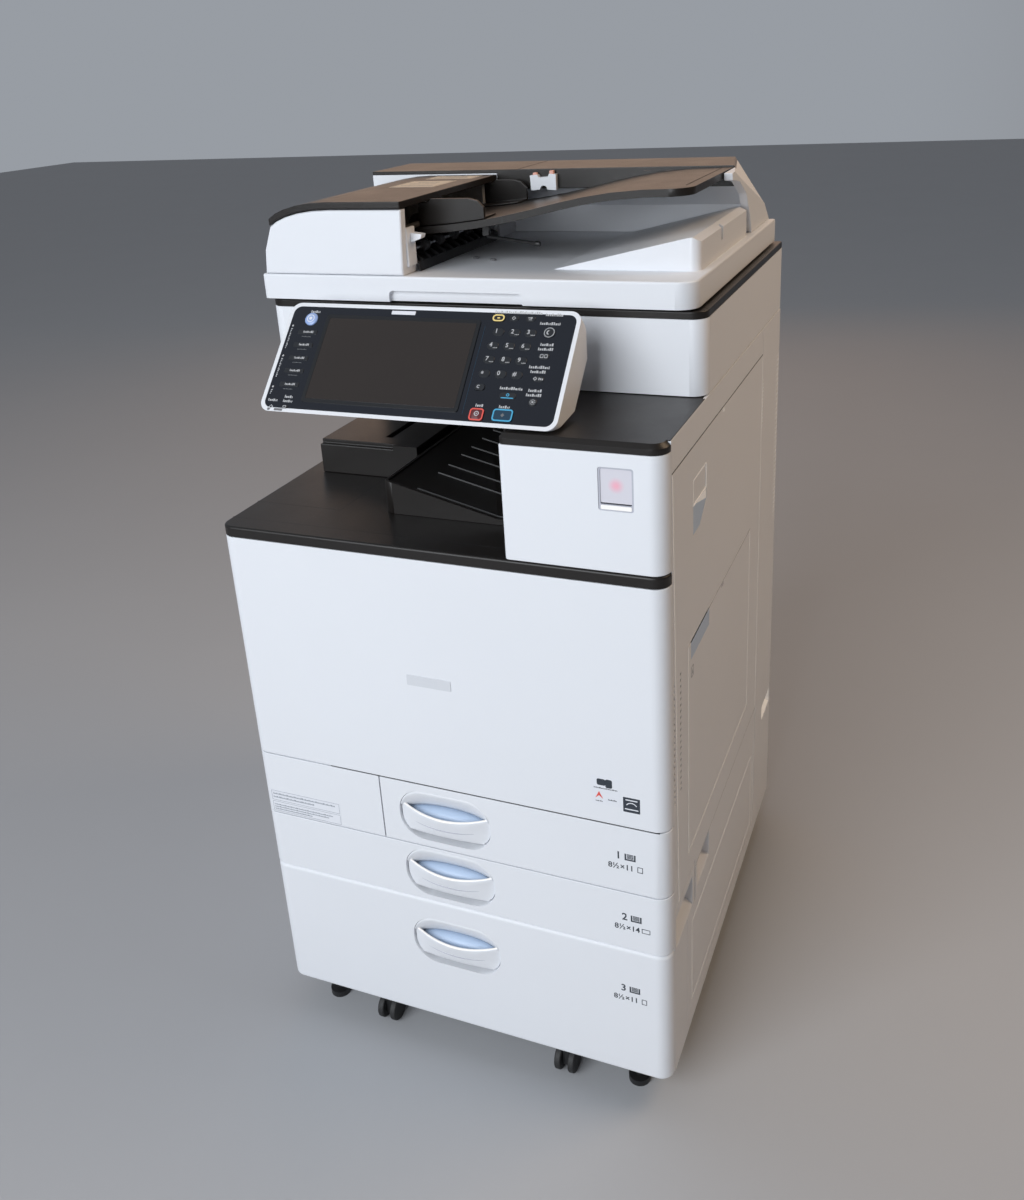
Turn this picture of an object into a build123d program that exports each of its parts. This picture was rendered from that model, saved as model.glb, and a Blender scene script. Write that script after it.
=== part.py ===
"""Floor-standing colour photocopier with a document feeder and a paper bank.

Row frame, in millimetres: +X to the machine's right, -Y to its front, +Z up.
The origin is the centre of the footprint, on the floor.
"""
import os
from math import cos, radians, sin

from build123d import *

os.makedirs("parts", exist_ok=True)

# ---- driving dimensions -------------------------------------------------
HALF_W = 293.5          # half the width over the covers
FRONT = -334.5          # plane of the front door and the tray fronts
REAR = 334.5            # rear edge of the side covers
GRIP_Y = -342.5         # furthest point of a tray grip
BULGE_Y = 342.5         # back of the raised panel in the rear cover
CORNER = 19.0           # radius of the front's vertical corners
WRAP = FRONT + 20.0     # where the front covers end on the sides
SEAM = 0.9              # gap between two covers
SKIN = 4.0              # thickness of a side cover
SHEET = 2.0             # steel sheet of the frame

Z_CASE = 50.0           # underside of the cabinet
Z_BANK = 260.0          # top of tray 3, the paper bank
Z_TRAY2 = 350.0         # top of tray 2
Z_TRAY1 = 448.0         # top of tray 1
Z_DOOR = 772.2          # top of the front door
Z_EXIT = 787.0          # surface of the paper exit slab
Z_BLOCK = 927.0         # top of the block right of the exit
Z_SCAN = 940.0          # underside of the scanner
Z_RIM = 1031.5          # underside of the scanner's dark rim
Z_SLAB = 1044.0         # underside of the platen cover
Z_FEED = 1076.0         # top of the platen cover's slab
Z_TOP = 1173.0          # top of the feeder

X_TRAY = -100.0         # seam between the waste cover and tray 1
X_BLOCK = 103.0         # left side of the block right of the exit
FRAME_L = -284.0        # outer faces of the steel frame
FRAME_R = 264.0
FRAME_F = -308.0
FRAME_B = 322.0

DOOR_X = (270.0, HALF_W)            # the thick paper-path door on the right
DOOR_END = 198.5                    # its rear edge, beside the hinge
BYPASS_Y = (-243.5, 127.5)          # pocket for the bypass tray
BYPASS_Z = (351.5, 655.0)

PANEL_W = 382.0         # control panel
PANEL_H = 150.0
PANEL_TILT = 46.4       # its face, from horizontal
PANEL_MID = (-22.5, -273.0, 997.0)
PIVOT_Y, PIVOT_Z = -200.0, 1000.0   # the panel's tilt axis

FEED_F = -169.5         # front of the platen cover and the feeder
FEED_R = 284.0          # right end of the platen cover
FEED_WALL = 190.0       # front wall of the feeder's rear housing
MOUTH_X = -81.0         # right edge of the feeder's left body

RUN = 0.06              # radial clearance of a running fit
KEY_RISE = 1.2          # how far a key stands proud of the panel


# ---- shape helpers, each used inside a BuildPart block ------------------
def mid(span):
    return (span[0] + span[1]) / 2


def size(span):
    return span[1] - span[0]


def block(x, y, z, mode=Mode.ADD):
    """A box between (low, high) pairs."""
    with Locations((mid(x), mid(y), mid(z))):
        Box(size(x), size(y), size(z), mode=mode)


def plan(x, y, z, left=0.0, right=0.0, rear=0.0, mode=Mode.ADD):
    """A vertical block with rounded front-left, front-right and rear corners."""
    with BuildSketch(Plane.XY.offset(z[0])) as outline:
        with Locations((mid(x), mid(y))):
            Rectangle(size(x), size(y))
        if left:
            fillet(outline.vertices().group_by(Axis.Y)[0].sort_by(Axis.X)[0], left)
        if right:
            fillet(outline.vertices().group_by(Axis.Y)[0].sort_by(Axis.X)[-1], right)
        if rear:
            fillet(outline.vertices().group_by(Axis.Y)[-1], rear)
    extrude(outline.sketch, amount=size(z), mode=mode)


def section_xz(points, y, mode=Mode.ADD, corner=0.0):
    """A polygon in X and Z, extruded along Y between a (low, high) pair."""
    with BuildSketch(Plane.XZ.offset(-y[0])) as outline:
        with BuildLine():
            Polyline(*points, close=True)
        make_face()
        if corner:
            fillet(outline.vertices(), corner)
    extrude(outline.sketch, amount=-size(y), mode=mode)


def section_yz(points, x, mode=Mode.ADD):
    """A polygon in Y and Z, extruded along X between a (low, high) pair."""
    with BuildSketch(Plane.YZ.offset(x[0])) as outline:
        with BuildLine():
            Polyline(*points, close=True)
        make_face()
    extrude(outline.sketch, amount=size(x), mode=mode)


def rod(axis, start, radius, length, mode=Mode.ADD):
    """A cylinder from start along +X, +Y or +Z."""
    directions = {"x": (1, 0, 0), "y": (0, 1, 0), "z": (0, 0, 1)}
    with BuildSketch(Plane(origin=start, z_dir=directions[axis])) as disc:
        Circle(radius)
    extrude(disc.sketch, amount=length, mode=mode)


def soften_rims(piece, radius):
    """Round the front edges of a cover's top and bottom faces."""
    rows = piece.edges().group_by(Axis.Z)
    for row in (rows[0], rows[-1]):
        outer = [edge for edge in row if edge.center().Y < WRAP - 1.0]
        fillet(outer, radius)


def finish(piece, name):
    """Label a finished piece and write its file."""
    piece.part.label = name
    export_step(piece.part, f"parts/{name}.step")


# ---- steel frame and tray rails -----------------------------------------
WELD = 0.1              # gap left between two plates of the frame
with BuildPart() as main_frame:
    inner_y = (FRAME_F, FRAME_B - SHEET - WELD)
    shelf_x = (FRAME_L + SHEET + WELD, FRAME_R - SHEET - WELD)
    wall_low = Z_CASE + SHEET + WELD
    block((FRAME_L, FRAME_R), inner_y, (Z_CASE, Z_CASE + SHEET))
    block((FRAME_L, FRAME_L + SHEET), inner_y, (wall_low, Z_EXIT - 16))
    for shelf in (Z_BANK - SHEET, Z_TRAY2 - SHEET, Z_TRAY1):
        block(shelf_x, inner_y, (shelf, shelf + SHEET))
    block((FRAME_L, FRAME_R), (FRAME_B - SHEET, FRAME_B), (Z_CASE, Z_BLOCK - 1))
    block((X_TRAY + 2, X_TRAY + 4), inner_y, (Z_TRAY2 + WELD, Z_TRAY1 - WELD))
    # the right side has a window for the paper path
    right = (FRAME_R - SHEET, FRAME_R)
    block(right, inner_y, (wall_low, 470))
    block(right, (FRAME_F, -250), (470 + WELD, Z_DOOR))
    block(right, (180, inner_y[1]), (470 + WELD, Z_DOOR))
finish(main_frame, "main_frame")

TRAY_X = {1: (X_TRAY + 9, 256), 2: (-276, 256), 3: (-276, 256)}
TRAY_Z = {1: (Z_TRAY2 + 5, Z_TRAY1 - 6), 2: (Z_BANK + 5, Z_TRAY2 - 8), 3: (Z_CASE + 8, Z_BANK - 8)}
TRAY_BACK = {1: 0.0, 2: 150.0, 3: 60.0}
RAIL_GAP = 0.5

with BuildPart() as tray_rails:
    for number, (low_x, high_x) in TRAY_X.items():
        level = mid(TRAY_Z[number])
        left_wall = (X_TRAY + 4 if number == 1 else FRAME_L + SHEET) + WELD
        rail_z = (level - 8, level + 8)
        block((left_wall, low_x - RAIL_GAP), (FRAME_F, 180), rail_z)
        block((high_x + RAIL_GAP, FRAME_R - SHEET - WELD), (FRAME_F, 180), rail_z)
finish(tray_rails, "tray_rails")

# ---- side and rear covers -----------------------------------------------
SIDE_F = WRAP + SEAM

with BuildPart() as left_covers:
    side = (-HALF_W, -HALF_W + SKIN)
    block(side, (SIDE_F, REAR), (Z_BANK + 2, Z_EXIT - 14.5))
    block(side, (SIDE_F, REAR), (Z_CASE + 1, Z_BANK + 1))
    # lifting grip, pressed right through the lower panel
    block((-HALF_W - 1, -HALF_W + SKIN + 1), (-295, -225), (Z_BANK - 15, Z_BANK - 2), Mode.SUBTRACT)
finish(left_covers, "left_covers")

BACK_IN = REAR - SKIN
with BuildPart() as rear_covers:
    wide = (-HALF_W + SKIN + SEAM, HALF_W - SKIN - SEAM)
    block(wide, (BACK_IN, REAR), (Z_BANK + 2, Z_BLOCK + 9))
    with BuildSketch(Plane.XZ.offset(-REAR)) as raised:
        with Locations((0, 570)):
            RectangleRounded(470, 500, 18)
    extrude(raised.sketch, amount=-(BULGE_Y - REAR))
    chamfer(rear_covers.faces().sort_by(Axis.Y)[-1].edges(), 2.0)
    block((-229, 229), (BACK_IN - 1, BULGE_Y - 3), (326, 814), Mode.SUBTRACT)
    for row in range(9):
        block((-180, -40), (BACK_IN - 1, BULGE_Y + 1), (680 + 12 * row, 685 + 12 * row), Mode.SUBTRACT)
    block((178, 232), (BACK_IN - 1, BULGE_Y + 1), (278, 312), Mode.SUBTRACT)
    block(wide, (BACK_IN, REAR), (Z_CASE + 1, Z_BANK + 1))
finish(rear_covers, "rear_covers")

with BuildPart() as power_inlet:
    block((178.4, 231.6), (FRAME_B + 1, REAR), (278.4, 311.6))
    block((186, 224), (FRAME_B + 6, REAR + 1), (284, 306), Mode.SUBTRACT)
    for pin_x, pin_z in ((195, 292), (205, 299), (215, 292)):
        block((pin_x - 1, pin_x + 1), (FRAME_B + 6, REAR - 4), (pin_z - 2.5, pin_z + 2.5))
finish(power_inlet, "power_inlet")

SLANT_LOW, SLANT_HIGH = -292.5, -310.5      # the paper-path door's slanted front edge
DOOR_Z = (304.0, 899.0)
with BuildPart() as right_covers:
    side = (HALF_W - SKIN, HALF_W)
    # the cover behind the doors, with its lifting grip pressed through it
    block(side, (DOOR_END + 2, REAR), (Z_CASE + 1, Z_SCAN - 1.6))
    block((HALF_W - SKIN - 1, HALF_W + 1), (261, 329), (238, 266), Mode.SUBTRACT)
    # the trim above and in front of the paper-path door
    block(side, (SIDE_F, DOOR_END), (DOOR_Z[1] + 1.5, Z_SCAN - 1.6))
    slanted = [(SIDE_F, 315), (SLANT_LOW - SEAM, 315), (SLANT_HIGH - SEAM, DOOR_Z[1]),
               (SLANT_HIGH - SEAM, DOOR_Z[1] + 3), (SIDE_F, DOOR_Z[1] + 3)]
    section_yz(slanted, side)
    for row in range(20):
        z = 475 + 8.5 * row
        block((HALF_W - SKIN - 1, HALF_W + 1), (SIDE_F + 3.5, SIDE_F + 8), (z, z + 4), Mode.SUBTRACT)
finish(right_covers, "right_covers")

GRIP_POCKET_Y = (-306.0, -222.0)
with BuildPart() as bank_right_cover:
    side = (HALF_W - SKIN, HALF_W)
    block(side, (SIDE_F, -248.4), (Z_CASE + 1, 247))
    block(side, (-248.4, DOOR_END + 1), (Z_CASE + 1, 66))
    # the lifting grip: a pocket whose roof the hand takes hold of
    block((FRAME_R + 1, HALF_W), (SIDE_F, -210), (248.9, 314))
    block(side, (SIDE_F, -249), (246, 250))
    pocket = [(FRAME_R + 4, 300), (FRAME_R + 4, 276), (HALF_W + 1, 252), (HALF_W + 1, 300)]
    section_xz(pocket, GRIP_POCKET_Y, Mode.SUBTRACT)
finish(bank_right_cover, "bank_right_cover")

# ---- paper exit ----------------------------------------------------------
with BuildPart() as exit_slab:
    plan((-HALF_W, HALF_W), (FRONT, WRAP), (Z_DOOR + 1.2, Z_EXIT), left=CORNER, right=CORNER)
    block((-HALF_W, FRAME_R - 1), (WRAP, FRAME_B - SHEET), (Z_DOOR + 1.2, Z_EXIT))
    block((-HALF_W + 10, FRAME_R - 6), (FRONT + 5, FRAME_B - SHEET - 5), (Z_DOOR, Z_EXIT - 6), Mode.SUBTRACT)
    front_edge = [edge for edge in exit_slab.edges().group_by(Axis.Z)[-1]
                  if edge.center().Y < WRAP - 1.0]
    fillet(front_edge, 3.0)
    # fine steps that divide the slab's front lip and its service lid
    top = (Z_EXIT - 0.8, Z_EXIT + 1)
    block((-HALF_W - 1, X_BLOCK), (FRONT + 30, FRONT + 31), top, Mode.SUBTRACT)
    block((-HALF_W - 1, -164), (FRONT + 85, FRONT + 86), top, Mode.SUBTRACT)
    block((-165, -164), (FRONT + 85, FRONT + 208), top, Mode.SUBTRACT)
finish(exit_slab, "exit_slab")

SLOPE_HIGH, SLOPE_LOW = 832.0, 795.0        # the exit tray, left and right
with BuildPart() as exit_tray:
    base = Z_EXIT + 0.4
    slope = [(-105, base), (-105, SLOPE_HIGH - 4), (-99, SLOPE_HIGH), (53, SLOPE_LOW), (100, SLOPE_LOW - 2),
             (100, base)]
    section_xz(slope, (FRONT + 92, 90))
    corner = exit_tray.edges().filter_by(Axis.Z).group_by(Axis.X)[0].sort_by(Axis.Y)[:1]
    fillet(corner, 16.0)
    # a sunken bed between raised rims
    bed = [(-96, SLOPE_HIGH + 1), (-96, SLOPE_HIGH - 2.9), (53, SLOPE_LOW - 2.2), (101, SLOPE_LOW - 4.2),
           (101, SLOPE_HIGH + 1)]
    section_xz(bed, (FRONT + 97, 85), Mode.SUBTRACT)
finish(exit_tray, "exit_tray")

with BuildPart() as exit_housing:
    base = Z_EXIT + 0.4
    lid = Z_BLOCK - 0.6
    block((-265, -112), (FRONT + 208, 96), (base, 835))
    block((-265, -150), (FRONT + 208, FRONT + 214), (829, 836), Mode.SUBTRACT)
    block((-176, -166), (FRONT + 240, 90), (829, 836), Mode.SUBTRACT)
    block((-HALF_W + SKIN + 1, FRAME_R - 3), (96, FRAME_B - SHEET - 1), (base, lid))
    block((X_BLOCK + 1, FRAME_R - 3), (SIDE_F, 96), (base, lid))
    # hollow behind its walls
    block((-HALF_W + SKIN + 5, FRAME_R - 7), (100, FRAME_B), (base + 4, lid - 4), Mode.SUBTRACT)
    block((X_BLOCK + 5, FRAME_R - 7), (SIDE_F - 1, 101), (base + 4, lid - 4), Mode.SUBTRACT)
    block((-261, -116), (FRONT + 212, 101), (base + 4, 825), Mode.SUBTRACT)
    # the slot that the finished sheets come out of
    block((X_BLOCK, X_BLOCK + 6), (-170, 80), (812, 826), Mode.SUBTRACT)
finish(exit_housing, "exit_housing")

with BuildPart() as front_block:
    plan((X_BLOCK, HALF_W), (FRONT, WRAP), (Z_EXIT + 1, Z_BLOCK), left=5.0, right=CORNER)
    soften_rims(front_block, 1.5)
    block((X_BLOCK + 3, HALF_W - 14), (FRONT + 3, WRAP + 1), (Z_EXIT + 5, Z_BLOCK + 1), Mode.SUBTRACT)
    with BuildSketch(Plane.XZ.offset(-FRONT)) as window:
        with Locations((238, 886)):
            RectangleRounded(40, 50, 3)
    extrude(window.sketch, amount=-4, mode=Mode.SUBTRACT)
finish(front_block, "front_block")

with BuildPart() as block_cap:
    low, high = Z_BLOCK + 0.6, Z_SCAN - 0.6
    plan((X_BLOCK, HALF_W), (FRONT, WRAP), (low, high), left=8.0, right=CORNER)
    rim = [edge for edge in block_cap.edges().group_by(Axis.Z)[-1] if edge.center().Y < WRAP - 1.0]
    chamfer(rim, 5.0)
    block((X_BLOCK, HALF_W - SKIN - SEAM), (WRAP, REAR - 12), (low, high))
    block((-HALF_W + SKIN + 1, X_BLOCK), (97, REAR - 12), (low, high))
finish(block_cap, "block_cap")

# ---- scanner --------------------------------------------------------------
SCAN_F = -160.5
with BuildPart() as scanner_housing:
    plan((-HALF_W, HALF_W), (SCAN_F, REAR), (Z_SCAN + 0.4, Z_RIM), left=CORNER, right=CORNER, rear=4.0)
    block((-286, 286), (SCAN_F + 8, REAR - 8), (Z_SCAN + 5, Z_RIM + 1), Mode.SUBTRACT)
    # ledges that the carriage runs along
    for ledge in ((SCAN_F + 7, -136), (236, 252)):
        block((-287, 287), ledge, (Z_SCAN + 4, 977.6))
    for side in (-1, 1):
        block((side * HALF_W - 0.7, side * HALF_W + 0.7), (SCAN_F + 20.5, SCAN_F + 21.5),
              (Z_SCAN, Z_RIM + 1), Mode.SUBTRACT)
finish(scanner_housing, "scanner_housing")

GLASS_X, GLASS_Y = (-240.0, 200.0), (-110.0, 200.0)
with BuildPart() as scanner_rim:
    plan((-HALF_W, HALF_W), (SCAN_F, REAR), (Z_RIM + 0.6, Z_SLAB - 3), left=CORNER, right=CORNER, rear=4.0)
    block(GLASS_X, GLASS_Y, (Z_RIM, Z_SLAB), Mode.SUBTRACT)
    fillet(scanner_rim.faces().sort_by(Axis.Z)[-1].outer_wire().edges(), 2.0)
finish(scanner_rim, "scanner_rim")

with BuildPart() as exposure_glass:
    block((GLASS_X[0] + 0.2, GLASS_X[1] - 0.2), (GLASS_Y[0] + 0.2, GLASS_Y[1] - 0.2),
          (Z_SLAB - 7.5, Z_SLAB - 3.5))
finish(exposure_glass, "exposure_glass")

with BuildPart() as scan_carriage:
    block((-262, -196), (-140, 240), (985, 1012))
    block((-244, -214), (-130, 230), (1008, 1013), Mode.SUBTRACT)
    for y in (-144, 240):
        block((-250, -208), (y, y + 4), (978, 1000))
finish(scan_carriage, "scan_carriage")

# ---- imaging parts behind the front door ----------------------------------
with BuildPart() as toner_bottles:
    for index in range(4):
        x = -225 + 85 * index
        rod("y", (x, -285, 716), 30.0, 300)
        rod("y", (x, -292, 716), 17.0, 7)
finish(toner_bottles, "toner_bottles")

with BuildPart() as imaging_units:
    for index in range(4):
        x = -225 + 85 * index
        block((x - 34, x + 34), (-285, 60), (626, 674))
        rod("y", (x, -285, 611), 15.0, 345)
    # the transfer belt that the drums print onto, with its end rollers inside
    block((-262, 66), (-280, 60), (560, 594))
finish(imaging_units, "imaging_units")

with BuildPart() as fuser_unit:
    block((150, 246), (-240, 150), (640, 760))
    rod("y", (198, -252, 700), 22.0, 12)
finish(fuser_unit, "fuser_unit")

# ---- front door and waste cover -------------------------------------------
with BuildPart() as front_door:
    door_z = (Z_TRAY1 + 1.4, Z_DOOR)
    plan((-HALF_W, HALF_W), (FRONT, WRAP), door_z, left=CORNER, right=CORNER)
    block((-HALF_W + 12, HALF_W - 12), (FRONT + 4, WRAP + 1), (door_z[0] + 5, door_z[1] - 5), Mode.SUBTRACT)
    for x in (-150, 0, 150):
        block((x - 1.2, x + 1.2), (FRONT + 3, WRAP - 4), (door_z[0] + 4, door_z[1] - 4))
    soften_rims(front_door, 1.2)
finish(front_door, "front_door")

with BuildPart() as waste_cover:
    cover_z = (Z_TRAY2 + 1, Z_TRAY1 - 0.4)
    plan((-HALF_W, X_TRAY - SEAM), (FRONT, WRAP), cover_z, left=CORNER)
    block((-HALF_W + 12, X_TRAY - 4), (FRONT + 4, WRAP + 1), (cover_z[0] + 4, cover_z[1] - 4), Mode.SUBTRACT)
    soften_rims(waste_cover, 1.0)
finish(waste_cover, "waste_cover")

# ---- paper trays ------------------------------------------------------------
FACE_Z = {1: (Z_TRAY2 + 1, Z_TRAY1 - 0.4), 2: (Z_BANK + 1, Z_TRAY2 - 0.8), 3: (Z_CASE, Z_BANK - 0.4)}
GRIP_X = -8.0
GRIP_Z = {1: 399.5, 2: 307.0, 3: 190.0}
RECESS_W, RECESS_H = 131.0, 76.0


def tray_face(number):
    """The moulded front of a tray, with the finger recess sunk into it."""
    wide = (X_TRAY + SEAM, HALF_W) if number == 1 else (-HALF_W, HALF_W)
    left = 0.0 if number == 1 else CORNER
    with BuildPart() as face:
        plan(wide, (FRONT, WRAP), FACE_Z[number], left=left, right=CORNER)
        soften_rims(face, 6.0 if number == 3 else 1.0)
        with BuildSketch(Plane.XZ.offset(-FRONT)) as recess:
            with Locations((GRIP_X, GRIP_Z[number])):
                RectangleRounded(RECESS_W, RECESS_H, 35.0)
        extrude(recess.sketch, amount=-17.5, taper=6, mode=Mode.SUBTRACT)
    return face


def tray_grip(number):
    """The bowed lip in the lower part of the recess, which the fingers pull on."""
    level = GRIP_Z[number]
    half = RECESS_W / 2 - 1.5
    wall = 4.5
    base = FRONT + 4.0
    low, high, crest = level - 27, level + 13, level + 3.5
    low_bow = FRONT - 1.0
    high_bow = low_bow + (GRIP_Y - low_bow) * (high - low) / (crest - low)
    with BuildPart() as grip:
        for z, bow in ((low, low_bow), (high, high_bow)):
            with BuildSketch(Plane.XY.offset(z)):
                with BuildLine():
                    ThreePointArc((GRIP_X - half, base), (GRIP_X, bow), (GRIP_X + half, base))
                    Line((GRIP_X + half, base), (GRIP_X + half, base + wall))
                    ThreePointArc((GRIP_X + half, base + wall), (GRIP_X, bow + wall),
                                  (GRIP_X - half, base + wall))
                    Line((GRIP_X - half, base + wall), (GRIP_X - half, base))
                make_face()
        loft()
        # the lip's upper edge sags in the middle
        sag = 230.0
        rod("y", (GRIP_X, GRIP_Y - 9, crest + sag), sag, 40, Mode.SUBTRACT)
        # its lower corners follow the recess
        with BuildSketch(Plane.XZ.offset(-GRIP_Y + 5)) as outline:
            with Locations((GRIP_X, level)):
                RectangleRounded(RECESS_W - 2.4, RECESS_H - 2.4, 33.8)
        extrude(outline.sketch, amount=-40, mode=Mode.INTERSECT)
    return grip


def tray_box(number):
    """The steel-floored box that holds the sheets, with its end fence."""
    x, z, back = TRAY_X[number], TRAY_Z[number], TRAY_BACK[number]
    y = (WRAP + 0.4, back)
    with BuildPart() as box:
        block(x, y, z)
        block((x[0] + 2, x[1] - 2), (y[0] + 2, y[1] - 2), (z[0] + 2, z[1] + 1), Mode.SUBTRACT)
        block((mid(x) - 30, mid(x) + 30), (back - 40, back - 38), (z[0] + 1, z[1] - 10))
    return box


for number in (1, 2, 3):
    for name, maker in (("front", tray_face), ("grip", tray_grip), ("box", tray_box)):
        finish(maker(number), f"tray_{name}_{number}")

# ---- right-hand doors ---------------------------------------------------------
with BuildPart() as right_door:
    edge = [(SLANT_LOW, DOOR_Z[0] + 11), (SLANT_HIGH, DOOR_Z[1]), (DOOR_END, DOOR_Z[1]),
            (DOOR_END, DOOR_Z[0]), (-207.5, DOOR_Z[0]), (-207.5, DOOR_Z[0] + 11)]
    section_yz(edge, DOOR_X)
    block((277, HALF_W + 1), BYPASS_Y, BYPASS_Z, Mode.SUBTRACT)
    # the door's handle: a slanted pocket with an undercut front wall
    pull = [(-218, 789), (-218, 859), (-152, 859), (-152, 812), (-185, 789)]
    section_yz(pull, (279, HALF_W + 1), Mode.SUBTRACT)
    for row in range(20):
        z = 475 + 8.5 * row
        block((HALF_W - 2, HALF_W + 1), (-281, -275), (z, z + 4), Mode.SUBTRACT)
finish(right_door, "right_door")

with BuildPart() as bypass_tray:
    tray_y = (BYPASS_Y[0] + 1, BYPASS_Y[1] - 1)
    block((284, HALF_W), tray_y, (BYPASS_Z[0] + 2, BYPASS_Z[1] - 1))
    block((283, 289), (tray_y[0] + 25, tray_y[1] - 25), (BYPASS_Z[0] + 30, BYPASS_Z[1] - 45), Mode.SUBTRACT)
    block((283, HALF_W + 1), (-229, -134), (BYPASS_Z[1] - 26, BYPASS_Z[1] + 1), Mode.SUBTRACT)
finish(bypass_tray, "bypass_tray")

with BuildPart() as bank_door:
    edge = [(-247.5, 67), (-247.5, 248), (-206.5, 248), (-206.5, 303), (DOOR_END - 2, 303), (DOOR_END - 2, 67)]
    section_yz(edge, (HALF_W - 6, HALF_W))
    block((HALF_W - 7, HALF_W + 1), (-196, -128), (262, 304), Mode.SUBTRACT)
finish(bank_door, "bank_door")

# ---- platen cover and document feeder ------------------------------------------
with BuildPart() as platen_cover:
    plan((-HALF_W, FEED_R), (FEED_F, FRAME_B), (Z_SLAB, Z_FEED), left=6.0, right=24.0)
    top_rim = platen_cover.faces().sort_by(Axis.Z)[-1].edges()
    fillet(top_rim, 2.5)
    # shallow pull notch under the front edge
    with BuildSketch(Plane.XZ.offset(-FEED_F)) as notch:
        with BuildLine():
            Polyline((-107, Z_SLAB - 1), (-107, 1058), (73, 1058), (73, Z_SLAB - 1), close=True)
        make_face()
        fillet(notch.vertices().group_by(Axis.Y)[-1], 6.0)
    extrude(notch.sketch, amount=-7, mode=Mode.SUBTRACT)
    # the raised right end of the output surface
    rise = [(86, Z_FEED - 1), (255, 1114), (264, 1115.5), (273, 1110), (273, Z_FEED - 1)]
    with BuildSketch(Plane.XZ.offset(105)) as ramp:
        with BuildLine():
            Polyline(*rise, close=True)
        make_face()
    extrude(ramp.sketch, amount=-(FEED_WALL - 28 + 105))
    corner = [edge for edge in platen_cover.edges().filter_by(Axis.Z)
              if edge.center().Z > Z_FEED and edge.center().Y < 0 and edge.center().X > 270]
    fillet(corner, 12.0)
    block((268, 280), (8, 18), (1094, 1118), Mode.SUBTRACT)
    # a recess underneath holds the white backing sheet
    block((-282, 272), (FEED_F + 12, FRAME_B - 16), (Z_SLAB - 1, Z_SLAB + 16), Mode.SUBTRACT)
finish(platen_cover, "platen_cover")

COVER_SKIN = 8.5


def feeder_curve(drop=0.0):
    """The top of the left body: a flat run that curves down to its left end."""
    shape = [(-272, 1146.0), (-262, 1152.5), (-248, 1158.0), (-230, 1162.5), (-208, 1165.5), (-185, 1166.5),
             (MOUTH_X, 1166.5)]
    return [(x, z - drop) for x, z in shape]


BODY_DROP = COVER_SKIN + 1.5
BODY_END = FEED_WALL - 62.0             # rear end of the left body and of its cover
with BuildPart() as feeder_body:
    hull = [(MOUTH_X - 4, Z_FEED + 0.5), (-287, Z_FEED + 0.5), (-284, 1106)] + feeder_curve(BODY_DROP)
    section_xz(hull, (FEED_F + 1, BODY_END))
    fillet(feeder_body.faces().sort_by(Axis.Y)[0].edges(), 3.0)
    # the hollow that holds the rollers, open to the right and above
    hollow = [(MOUTH_X + 5, 1086), (-270, 1086), (-262, 1130), (-245, 1190), (MOUTH_X + 5, 1190)]
    section_xz(hollow, (FEED_F + 13, BODY_END - 10), Mode.SUBTRACT)
    block((-100, MOUTH_X + 5), (BODY_END - 11, BODY_END + 1), (1100, 1190), Mode.SUBTRACT)
    rod("y", (-130, BODY_END - 12, 1120), 4.0 + RUN, 15, Mode.SUBTRACT)
    rod("y", (-130, FEED_F + 5, 1120), 4.0 + RUN, 15, Mode.SUBTRACT)
finish(feeder_body, "feeder_body")

with BuildPart() as feed_roller:
    rod("y", (-130, FEED_F + 8, 1120), 4.0, BODY_END - FEED_F - 10)
    for y in (-20, 20):
        rod("y", (-130, y - 11, 1120), 14.0, 22)
finish(feed_roller, "feed_roller")

with BuildPart() as feed_cover:
    rind = feeder_curve(COVER_SKIN) + feeder_curve()[::-1]
    section_xz(rind, (FEED_F, BODY_END))
finish(feed_cover, "feed_cover")

LID_Z = Z_TOP - 5.0      # underside of the dark lid on the rear housing
LID_F = BODY_END + 1.0   # front and rear edges of that lid
LID_B = 252.0
FLANGE = 2.2             # thickness of the lid's front flange
HOUSING_R = 275.0        # right end of the rear housing
# the right end leans inwards, along a plane through these three points
LEAN = ((262, 130, Z_TOP), (238, 250, Z_TOP), (HOUSING_R, 258, 1112))
lean_normal = (Vector(*LEAN[1]) - Vector(*LEAN[0])).cross(Vector(*LEAN[2]) - Vector(*LEAN[0])) * -1
lean_plane = Plane(origin=LEAN[0], z_dir=lean_normal)

with BuildPart() as feeder_rear:
    under_lid = LID_Z - 0.1
    back = [(LID_B - 1, under_lid), (272, 1112), (FRAME_B - 1, Z_FEED + 0.5)]
    section_yz([(LID_F, Z_FEED + 0.5), (LID_F, under_lid)] + back, (-284, MOUTH_X))
    step = LID_F + FLANGE
    wall = [(FEED_WALL, Z_FEED + 0.5), (FEED_WALL - 3, 1115), (150, 1150), (step, 1156), (step, under_lid)]
    section_yz(wall + back, (MOUTH_X, 264))
    cap = [(FEED_WALL, Z_FEED + 0.5), (178, 1100), (150, 1134), (105, 1155), (62, 1161), (60, 1170),
           (LID_F - 0.3, 1171), (LID_F - 0.3, under_lid)]
    section_yz(cap + back, (264, HOUSING_R))
    split(bisect_by=lean_plane, keep=Keep.BOTTOM)
finish(feeder_rear, "feeder_rear")

with BuildPart() as feeder_lid:
    block((-284, HOUSING_R), (LID_F, LID_B), (LID_Z, Z_TOP))
    block((MOUTH_X + 1, 263.6), (LID_F, LID_F + FLANGE - 0.2), (1146, LID_Z + 1))
    # the line where its two halves meet
    block((-48.4, -47.6), (LID_F - 1, LID_B + 1), (Z_TOP - 0.8, Z_TOP + 1), Mode.SUBTRACT)
    split(bisect_by=lean_plane, keep=Keep.BOTTOM)
finish(feeder_lid, "feeder_lid")

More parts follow.
